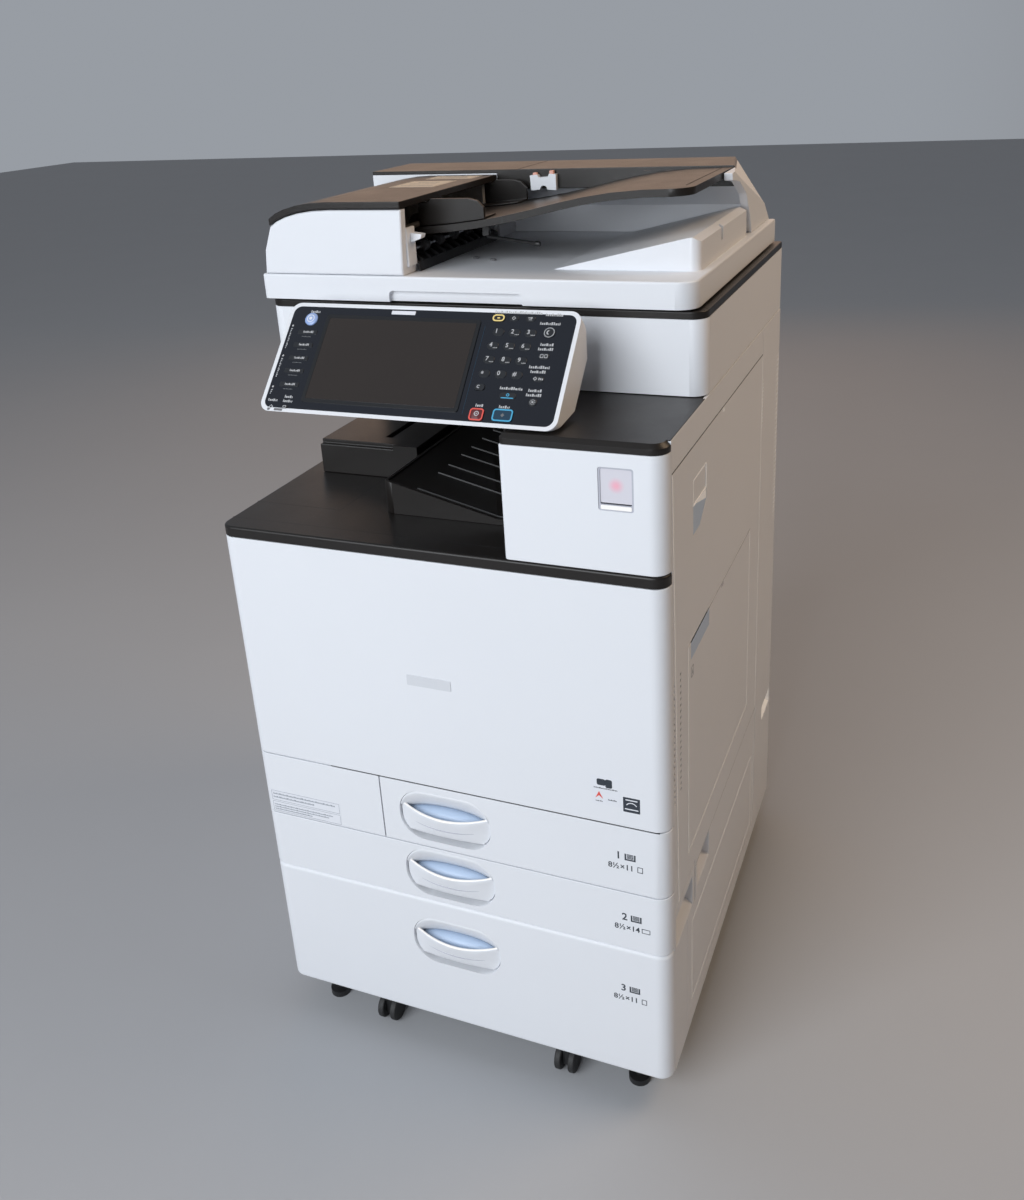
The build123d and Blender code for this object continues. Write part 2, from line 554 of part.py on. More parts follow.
TRAY_F = -104.5
TRAY_R = 262.0
TRAY_TOP = [(-96, 1126), (-50, 1129.5), (-12, 1134), (25, 1140), (60, 1147), (100, 1156), (131, 1162),
            (165, 1167), (205, 1170), (TRAY_R, 1171)]


def tray_strip(lift, low_x, high_x):
    """Points of the input tray's top between two X values, raised by lift."""
    inside = [(x, z + lift) for x, z in TRAY_TOP if low_x < x < high_x]
    return [(low_x, tray_height(low_x) + lift)] + inside + [(high_x, tray_height(high_x) + lift)]


def tray_height(x):
    """Height of the input tray's top at x."""
    for (x0, z0), (x1, z1) in zip(TRAY_TOP, TRAY_TOP[1:]):
        if x0 <= x <= x1:
            return z0 + (z1 - z0) * (x - x0) / (x1 - x0)
    return TRAY_TOP[-1][1]


with BuildPart() as input_tray:
    leaf = TRAY_TOP + [(x, z - 9) for x, z in TRAY_TOP[::-1]]
    section_xz(leaf, (TRAY_F, BODY_END))
    corner = input_tray.edges().filter_by(Axis.Z).group_by(Axis.X)[-1].sort_by(Axis.Y)[:1]
    fillet(corner, 26.0)
finish(input_tray, "input_tray")



def guide(x, y_fence, y_foot):
    """A paper guide: an upright fence with a foot that follows the tray's curve."""
    top = 1161.0
    throat_x, throat_z = MOUTH_X + 1.5, 1156.0      # it is lower where it passes under the feed cover
    fence = tray_strip(0.5, *x) + [(x[1], 1150), (x[1] - 8, 1158), (x[1] - 20, top), (throat_x + 4, top),
                                   (throat_x, throat_z), (x[0], throat_z)]
    foot = tray_strip(0.5, *x) + tray_strip(2.5, *x)[::-1]
    with BuildPart() as piece:
        section_xz(fence, y_fence)
        section_xz(foot, y_foot)
    return piece


front_guide = guide((-93.0, -2.0), (-98, -93), (-93, -60))
finish(front_guide, "front_guide")
rear_guide = guide((-93.0, -28.0), (110, 115), (77, 110))
finish(rear_guide, "rear_guide")

# ---- control panel ---------------------------------------------------------------
tilt = radians(PANEL_TILT)
panel_plane = Plane(origin=PANEL_MID, x_dir=(1, 0, 0), z_dir=(0, -sin(tilt), cos(tilt)))
FACE_IN = 5.0           # white border round the dark face
FACE_DEEP = 2.0

KEYS = {                # name: (across, up, shape, width, height)
    "key_home": (-157.5, 52.0, "round", 17, 17),
    "key_reset": (91.0, 62.5, "pill", 15, 9),
    "key_energy_saver": (157.0, 46.0, "round", 13, 13),
    "key_clear": (89.5, -27.0, "pill", 12, 8),
    "key_stop": (94.0, -61.0, "box", 17, 15),
    "key_start": (125.5, -60.0, "box", 24, 15),
}


def key_outline(shape, width, height):
    """The plan of one key, drawn in the panel's plane."""
    if shape == "round":
        Circle(width / 2)
    elif shape == "pill":
        RectangleRounded(width, height, height / 2 - 0.2)
    else:
        RectangleRounded(width, height, 3.5)


def key_solid(name, low, high, grow, mode=Mode.ADD):
    """One key between two heights above the panel's face."""
    across, up, shape, width, height = KEYS[name]
    with BuildSketch(panel_plane.offset(low)) as outline:
        with Locations((across, up)):
            key_outline(shape, width + grow, height + grow)
    extrude(outline.sketch, amount=high - low, mode=mode)


def face_plate(low, high, inset, radius, mode=Mode.ADD):
    """A rounded plate on the panel's plane, set in from its outline."""
    with BuildSketch(panel_plane.offset(low)) as outline:
        RectangleRounded(PANEL_W - 2 * inset, PANEL_H - 2 * inset, radius)
    extrude(outline.sketch, amount=high - low, mode=mode)


with BuildPart() as panel_housing:
    half_w, half_h = PANEL_W / 2, PANEL_H / 2
    run, climb = cos(tilt), sin(tilt)
    low_y, low_z = PANEL_MID[1] - half_h * run, PANEL_MID[2] - half_h * climb
    high_y, high_z = PANEL_MID[1] + half_h * run, PANEL_MID[2] + half_h * climb
    body = [(low_y, low_z), (high_y, high_z), (high_y + 10 * climb, high_z - 10 * run),
            (high_y + 10 * climb, 995), (-262, 947), (low_y + 9 * climb, low_z - 0.5)]
    section_yz(body, (PANEL_MID[0] - half_w, PANEL_MID[0] + half_w))
    # rounded corners, cut square to the face
    with BuildSketch(panel_plane.offset(-90)) as outline:
        RectangleRounded(PANEL_W, PANEL_H, 14)
    extrude(outline.sketch, amount=91, mode=Mode.INTERSECT)
    face_plate(-FACE_DEEP, 1, FACE_IN, 10, Mode.SUBTRACT)
    for name in KEYS:
        key_solid(name, -FACE_DEEP - 3.2, 0, 2.0, Mode.SUBTRACT)
    for x in (-84, 26):
        block((x, x + 14), (high_y + 4, PIVOT_Y), (PIVOT_Z - 8, PIVOT_Z + 8))
        rod("x", (x, PIVOT_Y, PIVOT_Z), 8.0, 14)
        rod("x", (x - 1, PIVOT_Y, PIVOT_Z), 5.0 + RUN, 16, Mode.SUBTRACT)
finish(panel_housing, "panel_housing")

with BuildPart() as panel_face:
    face_plate(-FACE_DEEP + 0.05, 0.0, FACE_IN + 0.2, 9.8)
    for name in KEYS:
        key_solid(name, -FACE_DEEP - 1, 1, 0.7, Mode.SUBTRACT)
finish(panel_face, "panel_face")

SCREEN_MID = (-33.0, -0.5)
with BuildPart() as touchscreen:
    with BuildSketch(panel_plane.offset(0.05)) as outline:
        with Locations(SCREEN_MID):
            RectangleRounded(201, 114, 2)
    extrude(outline.sketch, amount=0.8)
finish(touchscreen, "touchscreen")

for name in KEYS:
    with BuildPart() as key:
        key_solid(name, -FACE_DEEP - 1.6, KEY_RISE, 0.0)
    finish(key, name)

with BuildPart() as panel_arm:
    block((-110, 70), (-188, SCAN_F - 0.5), (972, 1018))
    for x in (-110, 60):
        block((x, x + 10), (-207, -188), (990, 1010))
    rod("x", (-100, PIVOT_Y, PIVOT_Z), 5.0, 160)
finish(panel_arm, "panel_arm")

# ---- feet and casters ---------------------------------------------------------------
WHEEL_R = 19.0
TRAIL = 14.0
CASTERS = {"front_left": (-139.0, -298.0, -TRAIL), "front_right": (139.0, -298.0, -TRAIL),
           "rear_left": (-139.0, 270.0, TRAIL), "rear_right": (139.0, 270.0, TRAIL)}

with BuildPart() as levelling_feet:
    for x in (-238, 238):
        for y in (-296, 280):
            rod("z", (x, y, 0), 15.0, 9)
            rod("z", (x, y, 9), 5.0, Z_CASE - 9)
finish(levelling_feet, "levelling_feet")


def caster_fork(x, y, trail, stem):
    """The hood between a caster's twin wheels, under its swivel plate."""
    top = Z_CASE - 0.4 if stem else Z_CASE
    rod("z", (x, y, 40), 11.0, top - 40)
    block((x - 4.5, x + 4.5), (min(y, y + trail) - 8, max(y, y + trail) + 8), (12, 42))
    rod("x", (x - 5.5, y + trail, WHEEL_R), 3.0 + RUN, 11, Mode.SUBTRACT)


for place in ("front_left", "front_right"):
    with BuildPart() as fork:
        caster_fork(*CASTERS[place], stem=True)
    finish(fork, f"caster_fork_{place}")

with BuildPart() as rear_caster_brackets:
    for place in ("rear_left", "rear_right"):
        caster_fork(*CASTERS[place], stem=False)
finish(rear_caster_brackets, "rear_caster_brackets")

for place, (x, y, trail) in CASTERS.items():
    with BuildPart() as wheels:
        rod("x", (x - 14, y + trail, WHEEL_R), 3.0, 28)
        for inner in (-14.5, 5.0):
            rod("x", (x + inner, y + trail, WHEEL_R), WHEEL_R, 9.5)
        fillet(wheels.edges().filter_by(GeomType.CIRCLE).sort_by(SortBy.RADIUS)[-4:], 2.5)
    finish(wheels, f"caster_wheels_{place}")
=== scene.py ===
"""The photocopier's looks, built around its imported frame.

The frame is in metres, +Z up, with the front facing -Y. Pieces are drawn in millimetres on a face
of the object, and scaled when they are made.
"""
from math import cos, pi, radians, sin

import bmesh
import bpy
from mathutils import Matrix, Vector


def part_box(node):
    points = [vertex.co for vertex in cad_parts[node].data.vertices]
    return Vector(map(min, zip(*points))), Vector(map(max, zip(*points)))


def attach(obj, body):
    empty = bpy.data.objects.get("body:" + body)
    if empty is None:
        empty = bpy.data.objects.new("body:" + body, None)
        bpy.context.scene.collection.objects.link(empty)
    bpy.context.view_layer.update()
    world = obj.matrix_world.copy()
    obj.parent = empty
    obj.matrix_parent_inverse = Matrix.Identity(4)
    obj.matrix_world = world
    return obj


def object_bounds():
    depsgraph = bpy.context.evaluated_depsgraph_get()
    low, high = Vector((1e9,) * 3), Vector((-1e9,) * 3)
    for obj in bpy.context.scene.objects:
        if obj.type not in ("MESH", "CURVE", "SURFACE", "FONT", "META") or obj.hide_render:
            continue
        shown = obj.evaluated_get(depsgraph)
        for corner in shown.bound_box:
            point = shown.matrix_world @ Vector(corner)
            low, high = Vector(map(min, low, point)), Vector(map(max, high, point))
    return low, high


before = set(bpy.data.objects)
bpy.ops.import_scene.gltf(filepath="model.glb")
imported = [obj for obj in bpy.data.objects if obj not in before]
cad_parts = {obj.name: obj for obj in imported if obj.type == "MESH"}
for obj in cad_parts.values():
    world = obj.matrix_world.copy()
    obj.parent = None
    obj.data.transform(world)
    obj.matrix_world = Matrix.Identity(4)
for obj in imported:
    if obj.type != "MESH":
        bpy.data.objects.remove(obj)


def as_lists(bounds):
    return [[float(value) for value in corner] for corner in bounds]


CAD_BOX = as_lists(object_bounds())
MM = 0.001


def adjust(node, **values):
    """Set a node's inputs by name, with _ for each space."""
    for name, value in values.items():
        node.inputs[name.replace("_", " ")].default_value = value


# ---- camera, lights and floor ------------------------------------------------
def make_camera():
    """The view from the front, to the right and a little above."""
    azimuth, elevation, roll = radians(23.16), radians(21.06), radians(-3.32)
    forward = Vector((-sin(azimuth) * cos(elevation), cos(azimuth) * cos(elevation), -sin(elevation)))
    right = forward.cross(Vector((0, 0, 1))).normalized()
    up = right.cross(forward)
    upright = Matrix((right, up, -forward)).transposed().to_4x4()
    data = bpy.data.cameras.new("camera")
    data.lens = 33.30
    data.sensor_width = 36.0
    data.shift_x = -0.0110
    data.shift_y = -0.0944
    camera = bpy.data.objects.new("camera", data)
    place = Matrix.Translation((0.5824, -1.3834, 1.3193))
    camera.matrix_world = place @ upright @ Matrix.Rotation(roll, 4, "Z")
    bpy.context.scene.collection.objects.link(camera)
    bpy.context.scene.camera = camera


def area_light(name, place, target, width, power, color):
    data = bpy.data.lights.new(name, "AREA")
    data.size = width
    data.energy = power
    data.color = color
    light = bpy.data.objects.new(name, data)
    light.location = place
    light.rotation_euler = (Vector(target) - Vector(place)).to_track_quat("-Z", "Y").to_euler()
    bpy.context.scene.collection.objects.link(light)


def make_lights():
    """Cool soft daylight on the front, and a dim warm room to the right."""
    world = bpy.data.worlds.new("studio")
    bpy.context.scene.world = world
    bpy.context.scene.view_settings.view_transform = "Standard"
    world.use_nodes = True
    tree = world.node_tree
    direction = tree.nodes.new("ShaderNodeTexCoord")
    axes = tree.nodes.new("ShaderNodeSeparateXYZ")
    tree.links.new(direction.outputs["Generated"], axes.inputs["Vector"])
    turn = tree.nodes.new("ShaderNodeMapRange")
    turn.interpolation_type = "SMOOTHSTEP"
    adjust(turn, From_Min=-0.10, From_Max=0.55)
    tree.links.new(axes.outputs["X"], turn.inputs["Value"])
    back = tree.nodes["Background"]
    room = color_mix(tree, turn.outputs["Result"], (0.56, 0.60, 0.66), (0.13, 0.10, 0.075))
    tree.links.new(room, back.inputs["Color"])
    adjust(back, Strength=0.56)
    area_light("daylight", (-0.9, -3.7, 2.3), (0, 0, 0.7), 3.0, 152, (0.93, 0.965, 1.0))
    area_light("warm_room", (1.9, 0.7, 2.6), (0.2, 0, 0.9), 1.3, 27, (1.0, 0.74, 0.50))
    area_light("warm_wall", (-0.9, 3.4, 2.5), (0, 0, 1.0), 3.2, 16, (1.0, 0.50, 0.17))


def make_floor():
    bpy.ops.mesh.primitive_plane_add(size=30, location=(0, 0, CAD_BOX[0][2]))
    floor = bpy.context.object
    floor.name = "floor"
    floor.data.materials.append(LOOKS["floor"])


# ---- materials -----------------------------------------------------------------
def node_material(name):
    material = bpy.data.materials.new(name)
    material.use_nodes = True
    tree = material.node_tree
    return material, tree, tree.nodes["Principled BSDF"]


def noise(tree, scale, detail=3.0, roughness=0.5):
    """A noise texture in the object's own coordinates."""
    place = tree.nodes.new("ShaderNodeTexCoord")
    texture = tree.nodes.new("ShaderNodeTexNoise")
    adjust(texture, Scale=scale, Detail=detail, Roughness=roughness)
    tree.links.new(place.outputs["Object"], texture.inputs["Vector"])
    return texture.outputs["Fac"]


def map_range(tree, source, low, high):
    ranged = tree.nodes.new("ShaderNodeMapRange")
    adjust(ranged, To_Min=low, To_Max=high)
    tree.links.new(source, ranged.inputs["Value"])
    return ranged.outputs["Result"]


def color_mix(tree, factor, first, second):
    mix = tree.nodes.new("ShaderNodeMix")
    mix.data_type = "RGBA"
    adjust(mix, A=(*first, 1), B=(*second, 1))
    tree.links.new(factor, mix.inputs["Factor"])
    return mix.outputs["Result"]


def add_grain(tree, shader, scale, strength):
    relief = tree.nodes.new("ShaderNodeBump")
    adjust(relief, Strength=strength, Distance=0.0003)
    tree.links.new(noise(tree, scale, 2.0), relief.inputs["Height"])
    tree.links.new(relief.outputs["Normal"], shader.inputs["Normal"])


def plastic(name, color, roughness, scale=6.0, bump=0.2, shade=0.05, coat=0.0, metallic=0.0,
            shine=0.5, glow=0.0):
    """Moulded plastic or paint: a fine grain, faint blotches of tone, and uneven gloss; glow makes it shine
    by itself, as a painted highlight.
    """
    material, tree, shader = node_material(name)
    dark = [value * (1 - shade) for value in color]
    light = [min(1.0, value * (1 + shade)) for value in color]
    tree.links.new(color_mix(tree, noise(tree, scale, 4.0, 0.6), dark, light), shader.inputs["Base Color"])
    smear = noise(tree, scale * 2.3, 5.0, 0.65)
    spread = 0.07           # how unevenly the surface shines
    gloss = map_range(tree, smear, max(0.03, roughness - spread), min(1.0, roughness + spread))
    tree.links.new(gloss, shader.inputs["Roughness"])
    add_grain(tree, shader, 1500.0, bump)
    adjust(shader, Coat_Weight=coat, Coat_Roughness=0.12, Metallic=metallic, Specular_IOR_Level=shine,
           Emission_Color=(*color, 1), Emission_Strength=glow)
    return material


def ink(name, color, glow=0.0):
    """Printed legends and small lamps: a slightly worn, satin print."""
    material, tree, shader = node_material(name)
    worn = [value * 0.72 for value in color]
    tree.links.new(color_mix(tree, noise(tree, 900.0, 2.0), worn, color), shader.inputs["Base Color"])
    adjust(shader, Roughness=0.4)
    if glow:
        adjust(shader, Emission_Color=(*color, 1), Emission_Strength=glow)
    return material


def clear_glass(name, color, roughness):
    material, tree, shader = node_material(name)
    adjust(shader, Base_Color=(*color, 1), Transmission_Weight=0.92, IOR=1.46)
    gloss = map_range(tree, noise(tree, 18.0), roughness, roughness + 0.05)
    tree.links.new(gloss, shader.inputs["Roughness"])
    return material


def lamp_lens(name, middle, reach):
    """The indicator's pale lens, with a pink glow that fades out from its middle."""
    material, tree, shader = node_material(name)
    place = tree.nodes.new("ShaderNodeTexCoord")
    distance = tree.nodes.new("ShaderNodeVectorMath")
    distance.operation = "DISTANCE"
    distance.inputs[1].default_value = middle
    tree.links.new(place.outputs["Object"], distance.inputs[0])
    fade = tree.nodes.new("ShaderNodeMapRange")
    fade.interpolation_type = "SMOOTHSTEP"
    adjust(fade, From_Max=reach)
    tree.links.new(distance.outputs["Value"], fade.inputs["Value"])
    tint = color_mix(tree, fade.outputs["Result"], (0.86, 0.42, 0.52), (0.66, 0.65, 0.71))
    tree.links.new(tint, shader.inputs["Base Color"])
    adjust(shader, Roughness=0.28, Coat_Weight=0.6)
    return material


def make_looks():
    return {
        "floor": plastic("floor_paint", (0.42, 0.43, 0.45), 0.85, 2.0, 0.02, 0.02),
        "white": plastic("cool_white_plastic", (0.76, 0.78, 0.82), 0.42, 3.5, 0.20, 0.02),
        "charcoal": plastic("charcoal_plastic", (0.013, 0.011, 0.010), 0.34, 9.0, 0.28, 0.15, shine=0.38),
        "steel": plastic("galvanised_steel", (0.55, 0.56, 0.57), 0.42, 22.0, 0.10, 0.12, metallic=0.9),
        "tray": plastic("tray_plastic", (0.40, 0.41, 0.43), 0.5, 6.0, 0.25, 0.06),
        "black": plastic("black_plastic", (0.012, 0.012, 0.013), 0.45, 12.0, 0.30, 0.2),
        "grey": plastic("grey_plastic", (0.16, 0.16, 0.17), 0.5, 12.0, 0.30, 0.1),
        "rubber": plastic("wheel_rubber", (0.020, 0.020, 0.021), 0.62, 30.0, 0.35, 0.25),
        "roller": plastic("roller_rubber", (0.055, 0.055, 0.06), 0.75, 40.0, 0.40, 0.2),
        "fascia": plastic("panel_fascia", (0.006, 0.008, 0.014), 0.16, 8.0, 0.03, 0.2, coat=0.4),
        "screen": plastic("screen_glass", (0.020, 0.014, 0.011), 0.10, 5.0, 0.01, 0.12, coat=0.6),
        "bezel": plastic("screen_bezel", (0.012, 0.013, 0.015), 0.30, 8.0, 0.10, 0.1),
        "keycap": plastic("keycap_plastic", (0.013, 0.015, 0.019), 0.38, 20.0, 0.15, 0.15),
        "home": plastic("home_key_plastic", (0.30, 0.42, 0.72), 0.30, 60.0, 0.05, 0.15, coat=0.3),
        # pocket: a pale blue that is painted shade, the cool shade inside pockets and on their shaded facets
        "pocket": plastic("pocket_painted_shade", (0.50, 0.62, 0.80), 0.40, 6.0, 0.15, 0.05),
        "badge": plastic("badge_plastic", (0.66, 0.68, 0.72), 0.30, 12.0, 0.05, 0.04, coat=0.3),
        "label": plastic("label_film", (0.75, 0.77, 0.82), 0.30, 12.0, 0.03, 0.03),
        "buff": plastic("buff_label", (0.62, 0.52, 0.40), 0.45, 20.0, 0.05, 0.08),
        # outline: a grey for frames and seams, also used as painted shade along the grips' creases
        "outline": plastic("grey_frame_and_crease_shade", (0.46, 0.47, 0.53), 0.4, 12.0, 0.05, 0.05),
        "rib": plastic("rib_plastic", (0.016, 0.016, 0.018), 0.5, 12.0, 0.1, 0.1),
        # edge: a paler colour that glows, a painted highlight along moulded edges, dots and grip rims
        "edge": plastic("edge_painted_highlight", (0.88, 0.86, 0.83), 0.25, 12.0, 0.03, 0.03, coat=0.3, glow=0.13),
        "pink": plastic("pink_plastic", (0.78, 0.42, 0.34), 0.45, 20.0, 0.1, 0.05),
        "legend": ink("legend_print", (0.55, 0.56, 0.58)),
        "dim": ink("dim_print", (0.17, 0.18, 0.19)),
        "print": ink("dark_print", (0.035, 0.045, 0.06)),
        # grey_print_and_painted_shade: grey print on labels, and also painted shade inside the door's vent
        # slots
        "grey_print_and_painted_shade": ink("grey_print_and_painted_shade", (0.30, 0.33, 0.38)),
        "red": ink("red_ring", (0.72, 0.10, 0.08), 0.15),
        "dark_red": ink("dark_red_key", (0.12, 0.012, 0.015)),
        "blue": ink("blue_ring", (0.07, 0.38, 0.62), 0.15),
        "dark_blue": ink("dark_blue_key", (0.010, 0.045, 0.085)),
        "yellow": ink("yellow_ring", (0.86, 0.68, 0.26), 0.1),
        "glass": clear_glass("float_glass", (0.86, 0.93, 0.90), 0.02),
        "dark_glass": plastic("dark_glass", (0.02, 0.025, 0.024), 0.06, 8.0, 0.01, 0.1, coat=0.5),
        "bright": plastic("bright_steel", (0.60, 0.60, 0.62), 0.28, 30.0, 0.05, 0.1, metallic=1.0),
        "cyan": plastic("cyan_cap", (0.02, 0.30, 0.52), 0.4),
        "magenta": plastic("magenta_cap", (0.52, 0.03, 0.20), 0.4),
        "sun": plastic("yellow_cap", (0.75, 0.56, 0.04), 0.4),
    }


# ---- drawing on a face -----------------------------------------------------------
def box_of(node):
    """A CAD node's lowest and highest corners, in millimetres."""
    low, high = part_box(node)
    return Vector(low) / MM, Vector(high) / MM


def face(origin, across, up):
    """A matrix whose X and Y lie in a face, and whose Z leaves it."""
    across, up = Vector(across).normalized(), Vector(up).normalized()
    turn = Matrix((across, up, across.cross(up))).transposed().to_4x4()
    return Matrix.Translation(Vector(origin)) @ turn


def rounded(x, y, width, height, radius, steps=5):
    """A rectangle with round corners about (x, y), anticlockwise."""
    radius = min(radius, width / 2 - 0.01, height / 2 - 0.01)
    points = []
    for corner, (side_x, side_y) in enumerate(((1, 1), (-1, 1), (-1, -1), (1, -1))):
        for step in range(steps + 1):
            angle = (corner + step / steps) * pi / 2
            points.append((x + side_x * (width / 2 - radius) + radius * cos(angle),
                           y + side_y * (height / 2 - radius) + radius * sin(angle)))
    return points


def disc(x, y, radius, steps=24):
    angles = (2 * pi * k / steps for k in range(steps))
    return [(x + radius * cos(angle), y + radius * sin(angle)) for angle in angles]


def shrink(outline, inset):
    """An outline drawn in towards its middle by about the inset."""
    xs, ys = [x for x, _ in outline], [y for _, y in outline]
    mid_x, mid_y = (min(xs) + max(xs)) / 2, (min(ys) + max(ys)) / 2
    part_x = 1 - 2 * inset / (max(xs) - min(xs))
    part_y = 1 - 2 * inset / (max(ys) - min(ys))
    return [(mid_x + (x - mid_x) * part_x, mid_y + (y - mid_y) * part_y) for x, y in outline]


class Moulding:
    """Solids of one material that make one piece, drawn in millimetres on a face."""

    def __init__(self, on):
        self.on = on
        self.mesh = bmesh.new()

    def row(self, outline, height):
        return [self.mesh.verts.new((x, y, height)) for x, y in outline]

    def skin(self, lower, upper):
        for k in range(len(lower)):
            self.mesh.faces.new((lower[k - 1], lower[k], upper[k], upper[k - 1]))

    def stack(self, rings):
        """Skin a stack of (outline, height) rings and close both ends."""
        rows = [self.row(outline, height) for outline, height in rings]
        for lower, upper in zip(rows, rows[1:]):
            self.skin(lower, upper)
        self.mesh.faces.new(rows[0][::-1])
        self.mesh.faces.new(rows[-1])
        return self

    def slab(self, outline, low, high, edge=0.0):
        """A prism between two heights above the face, with a chamfered top edge."""
        rings = [(outline, low), (outline, high - edge)]
        if edge:
            rings.append((shrink(outline, edge), high))
        return self.stack(rings)

    def ring(self, outer, inner, low, high):
        """A flat band between two outlines that have as many points."""
        rows = [self.row(outer, low), self.row(outer, high), self.row(inner, high), self.row(inner, low)]
        for k in range(4):
            self.skin(rows[k], rows[(k + 1) % 4])
        return self

    def turned(self, x, y, profile, steps=24):
        """A solid of revolution from (radius, height) pairs."""
        return self.stack([(disc(x, y, radius, steps), height) for radius, height in profile])

    def box(self, x, y, z, edge=0.0):
        """A block between (low, high) pairs."""
        outline = rounded((x[0] + x[1]) / 2, (y[0] + y[1]) / 2, x[1] - x[0], y[1] - y[0], edge + 0.02, 1)
        return self.slab(outline, z[0], z[1], edge)

    def words(self, text, height, x, y, low, high):
        """Numerals in the plain built-in typeface, a little bolder than it is."""
        data = bpy.data.curves.new("glyphs", "FONT")
        data.body = text
        data.size = height * 1.42       # the typeface's size for each unit of a numeral's height
        data.offset = height * 0.022
        data.align_x, data.align_y = "CENTER", "CENTER"
        data.extrude = (high - low) / 2
        data.resolution_u = 3
        holder = bpy.data.objects.new("glyphs", data)
        mesh = bpy.data.meshes.new_from_object(holder)
        mesh.transform(Matrix.Translation((x, y, (low + high) / 2)))
        self.mesh.from_mesh(mesh)
        bpy.data.objects.remove(holder)
        bpy.data.curves.remove(data)
        bpy.data.meshes.remove(mesh)
        return self

    def greek(self, x, y, width, height, low, high):
        """Strokes that stand for a line of print, with no letters in them."""
        reach, k = -width / 2, 0
        while reach < width / 2 - height * 0.3:
            stroke = height * (0.30, 0.55, 0.42, 0.62, 0.25)[k % 5]
            rise = height * (1.0, 0.66, 0.70, 0.9, 0.62, 0.72, 1.0)[k % 7]
            base = y - height / 2
            self.box((x + reach, x + reach + stroke), (base, base + rise), (low, high))
            reach += stroke + height * 0.22
            k += 1
        return self

    def piece(self, name, look, body):
        """Turn the drawing into a piece that rides on a body."""
        mesh = bpy.data.meshes.new(name)
        bmesh.ops.transform(self.mesh, matrix=Matrix.Scale(MM, 4) @ self.on, verts=self.mesh.verts)
        self.mesh.to_mesh(mesh)
        self.mesh.free()
        mesh.materials.append(LOOKS[look])
        made = bpy.data.objects.new(name, mesh)
        bpy.context.scene.collection.objects.link(made)
        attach(made, body)
        return made


def smooth(piece, angle=35):
    """Smooth shading, with creases where faces meet sharply."""
    piece.data.polygons.foreach_set("use_smooth", [True] * len(piece.data.polygons))
    piece.data.set_sharp_from_angle(angle=radians(angle))
    return piece


def dress(node, look, bevel=0.0):
    """Give a CAD node its material, and softly rounded edges."""
    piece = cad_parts[node]
    piece.data.materials.clear()
    piece.data.materials.append(LOOKS[look])
    if bevel:
        weld = piece.modifiers.new("weld", "WELD")
        weld.merge_threshold = 0.00001
        round_off = piece.modifiers.new("round", "BEVEL")
        round_off.width = bevel * MM
        round_off.segments = 2
        round_off.limit_method = "ANGLE"
        round_off.angle_limit = radians(40)


NODE_LOOKS = {
    "charcoal": ("exit_slab", "exit_tray", "exit_housing", "block_cap", "scanner_rim", "input_tray",
                 "front_guide", "rear_guide", "feed_cover", "feeder_lid"),
    "steel": ("main_frame", "tray_rails"),
    "tray": ("tray_box_1", "tray_box_2", "tray_box_3"),
    "black": ("power_inlet", "caster_fork_front_left", "caster_fork_front_right", "rear_caster_brackets",
              "levelling_feet", "scan_carriage", "imaging_units", "toner_bottles", "fuser_unit"),
    "rubber": tuple(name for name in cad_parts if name.startswith("caster_wheels")),
    "roller": ("feed_roller",),
    "fascia": ("panel_face", "touchscreen"),
    "keycap": ("key_reset", "key_energy_saver", "key_clear"),
    "home": ("key_home",),
    "dark_red": ("key_stop",),
    "dark_blue": ("key_start",),
    "glass": ("exposure_glass",),
}
# edge radius in millimetres: the nodes that have it
BEVELS = {
    0.2: ("touchscreen",),
    0.3: ("key_reset", "key_clear", "key_energy_saver"),
    0.4: ("key_home", "key_stop", "key_start"),
    0.5: ("right_covers", "left_covers", "power_inlet"),
    0.6: ("front_block", "bypass_tray", "bank_door", "bank_right_cover", "rear_covers"),
    0.7: ("right_door", "scanner_housing"),
    0.8: ("front_guide", "rear_guide", "panel_housing", "platen_cover", "block_cap"),
    0.9: ("feeder_lid",),
    1.2: ("exit_housing", "exit_tray", "feed_cover", "feeder_rear", "tray_front_1", "tray_front_2",
          "tray_front_3"),
    1.4: ("input_tray",),
    1.8: ("tray_grip_1", "tray_grip_2", "tray_grip_3"),
    2.2: ("feeder_body",),
}


def dress_nodes():
    looks = {node: look for look, names in NODE_LOOKS.items() for node in names}
    bevels = {node: width for width, names in BEVELS.items() for node in names}
    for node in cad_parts:
        dress(node, looks.get(node, "white"), bevels.get(node, 0.0))


LOOKS = make_looks()

# ---- the faces that the pieces are drawn on -----------------------------------------
FRONT_Y = box_of("front_door")[0].y
RIGHT_X = box_of("right_door")[1].x
REAR_Y = box_of("right_covers")[1].y
TILT = radians(46.4)
PANEL_OUT = Vector((0, -sin(TILT), cos(TILT)))
FACE_LOW, FACE_HIGH = box_of("panel_face")
FACE_THICK = 1.95
PANEL_MID = (FACE_LOW + FACE_HIGH) / 2 + PANEL_OUT * FACE_THICK / 2
PANEL = face(PANEL_MID, (1, 0, 0), (0, cos(TILT), sin(TILT)))
FRONT = face((0, FRONT_Y, 0), (1, 0, 0), (0, 0, 1))
RIGHT = face((RIGHT_X, 0, 0), (0, 1, 0), (0, 0, 1))
REAR = face((0, REAR_Y, 0), (-1, 0, 0), (0, 0, 1))
WORLD = Matrix.Identity(4)

# how far below and above its face a print lies
SKIN = 0.12                     # thickness of a print
FLAT = (0, SKIN)                # a print on its face
OVER = (SKIN, 2 * SKIN)         # a print on a film
SUNK = (-0.05, SKIN)            # a print that starts just under its face
FILM = (-0.1, SKIN)             # a film, or a small mark
RAISED = (-0.3, SKIN)           # a moulded line on a side


# ---- control panel -------------------------------------------------------------------
SCREEN = (-33.0, -0.5)
COLUMNS = (91.5, 111.5, 131.0)
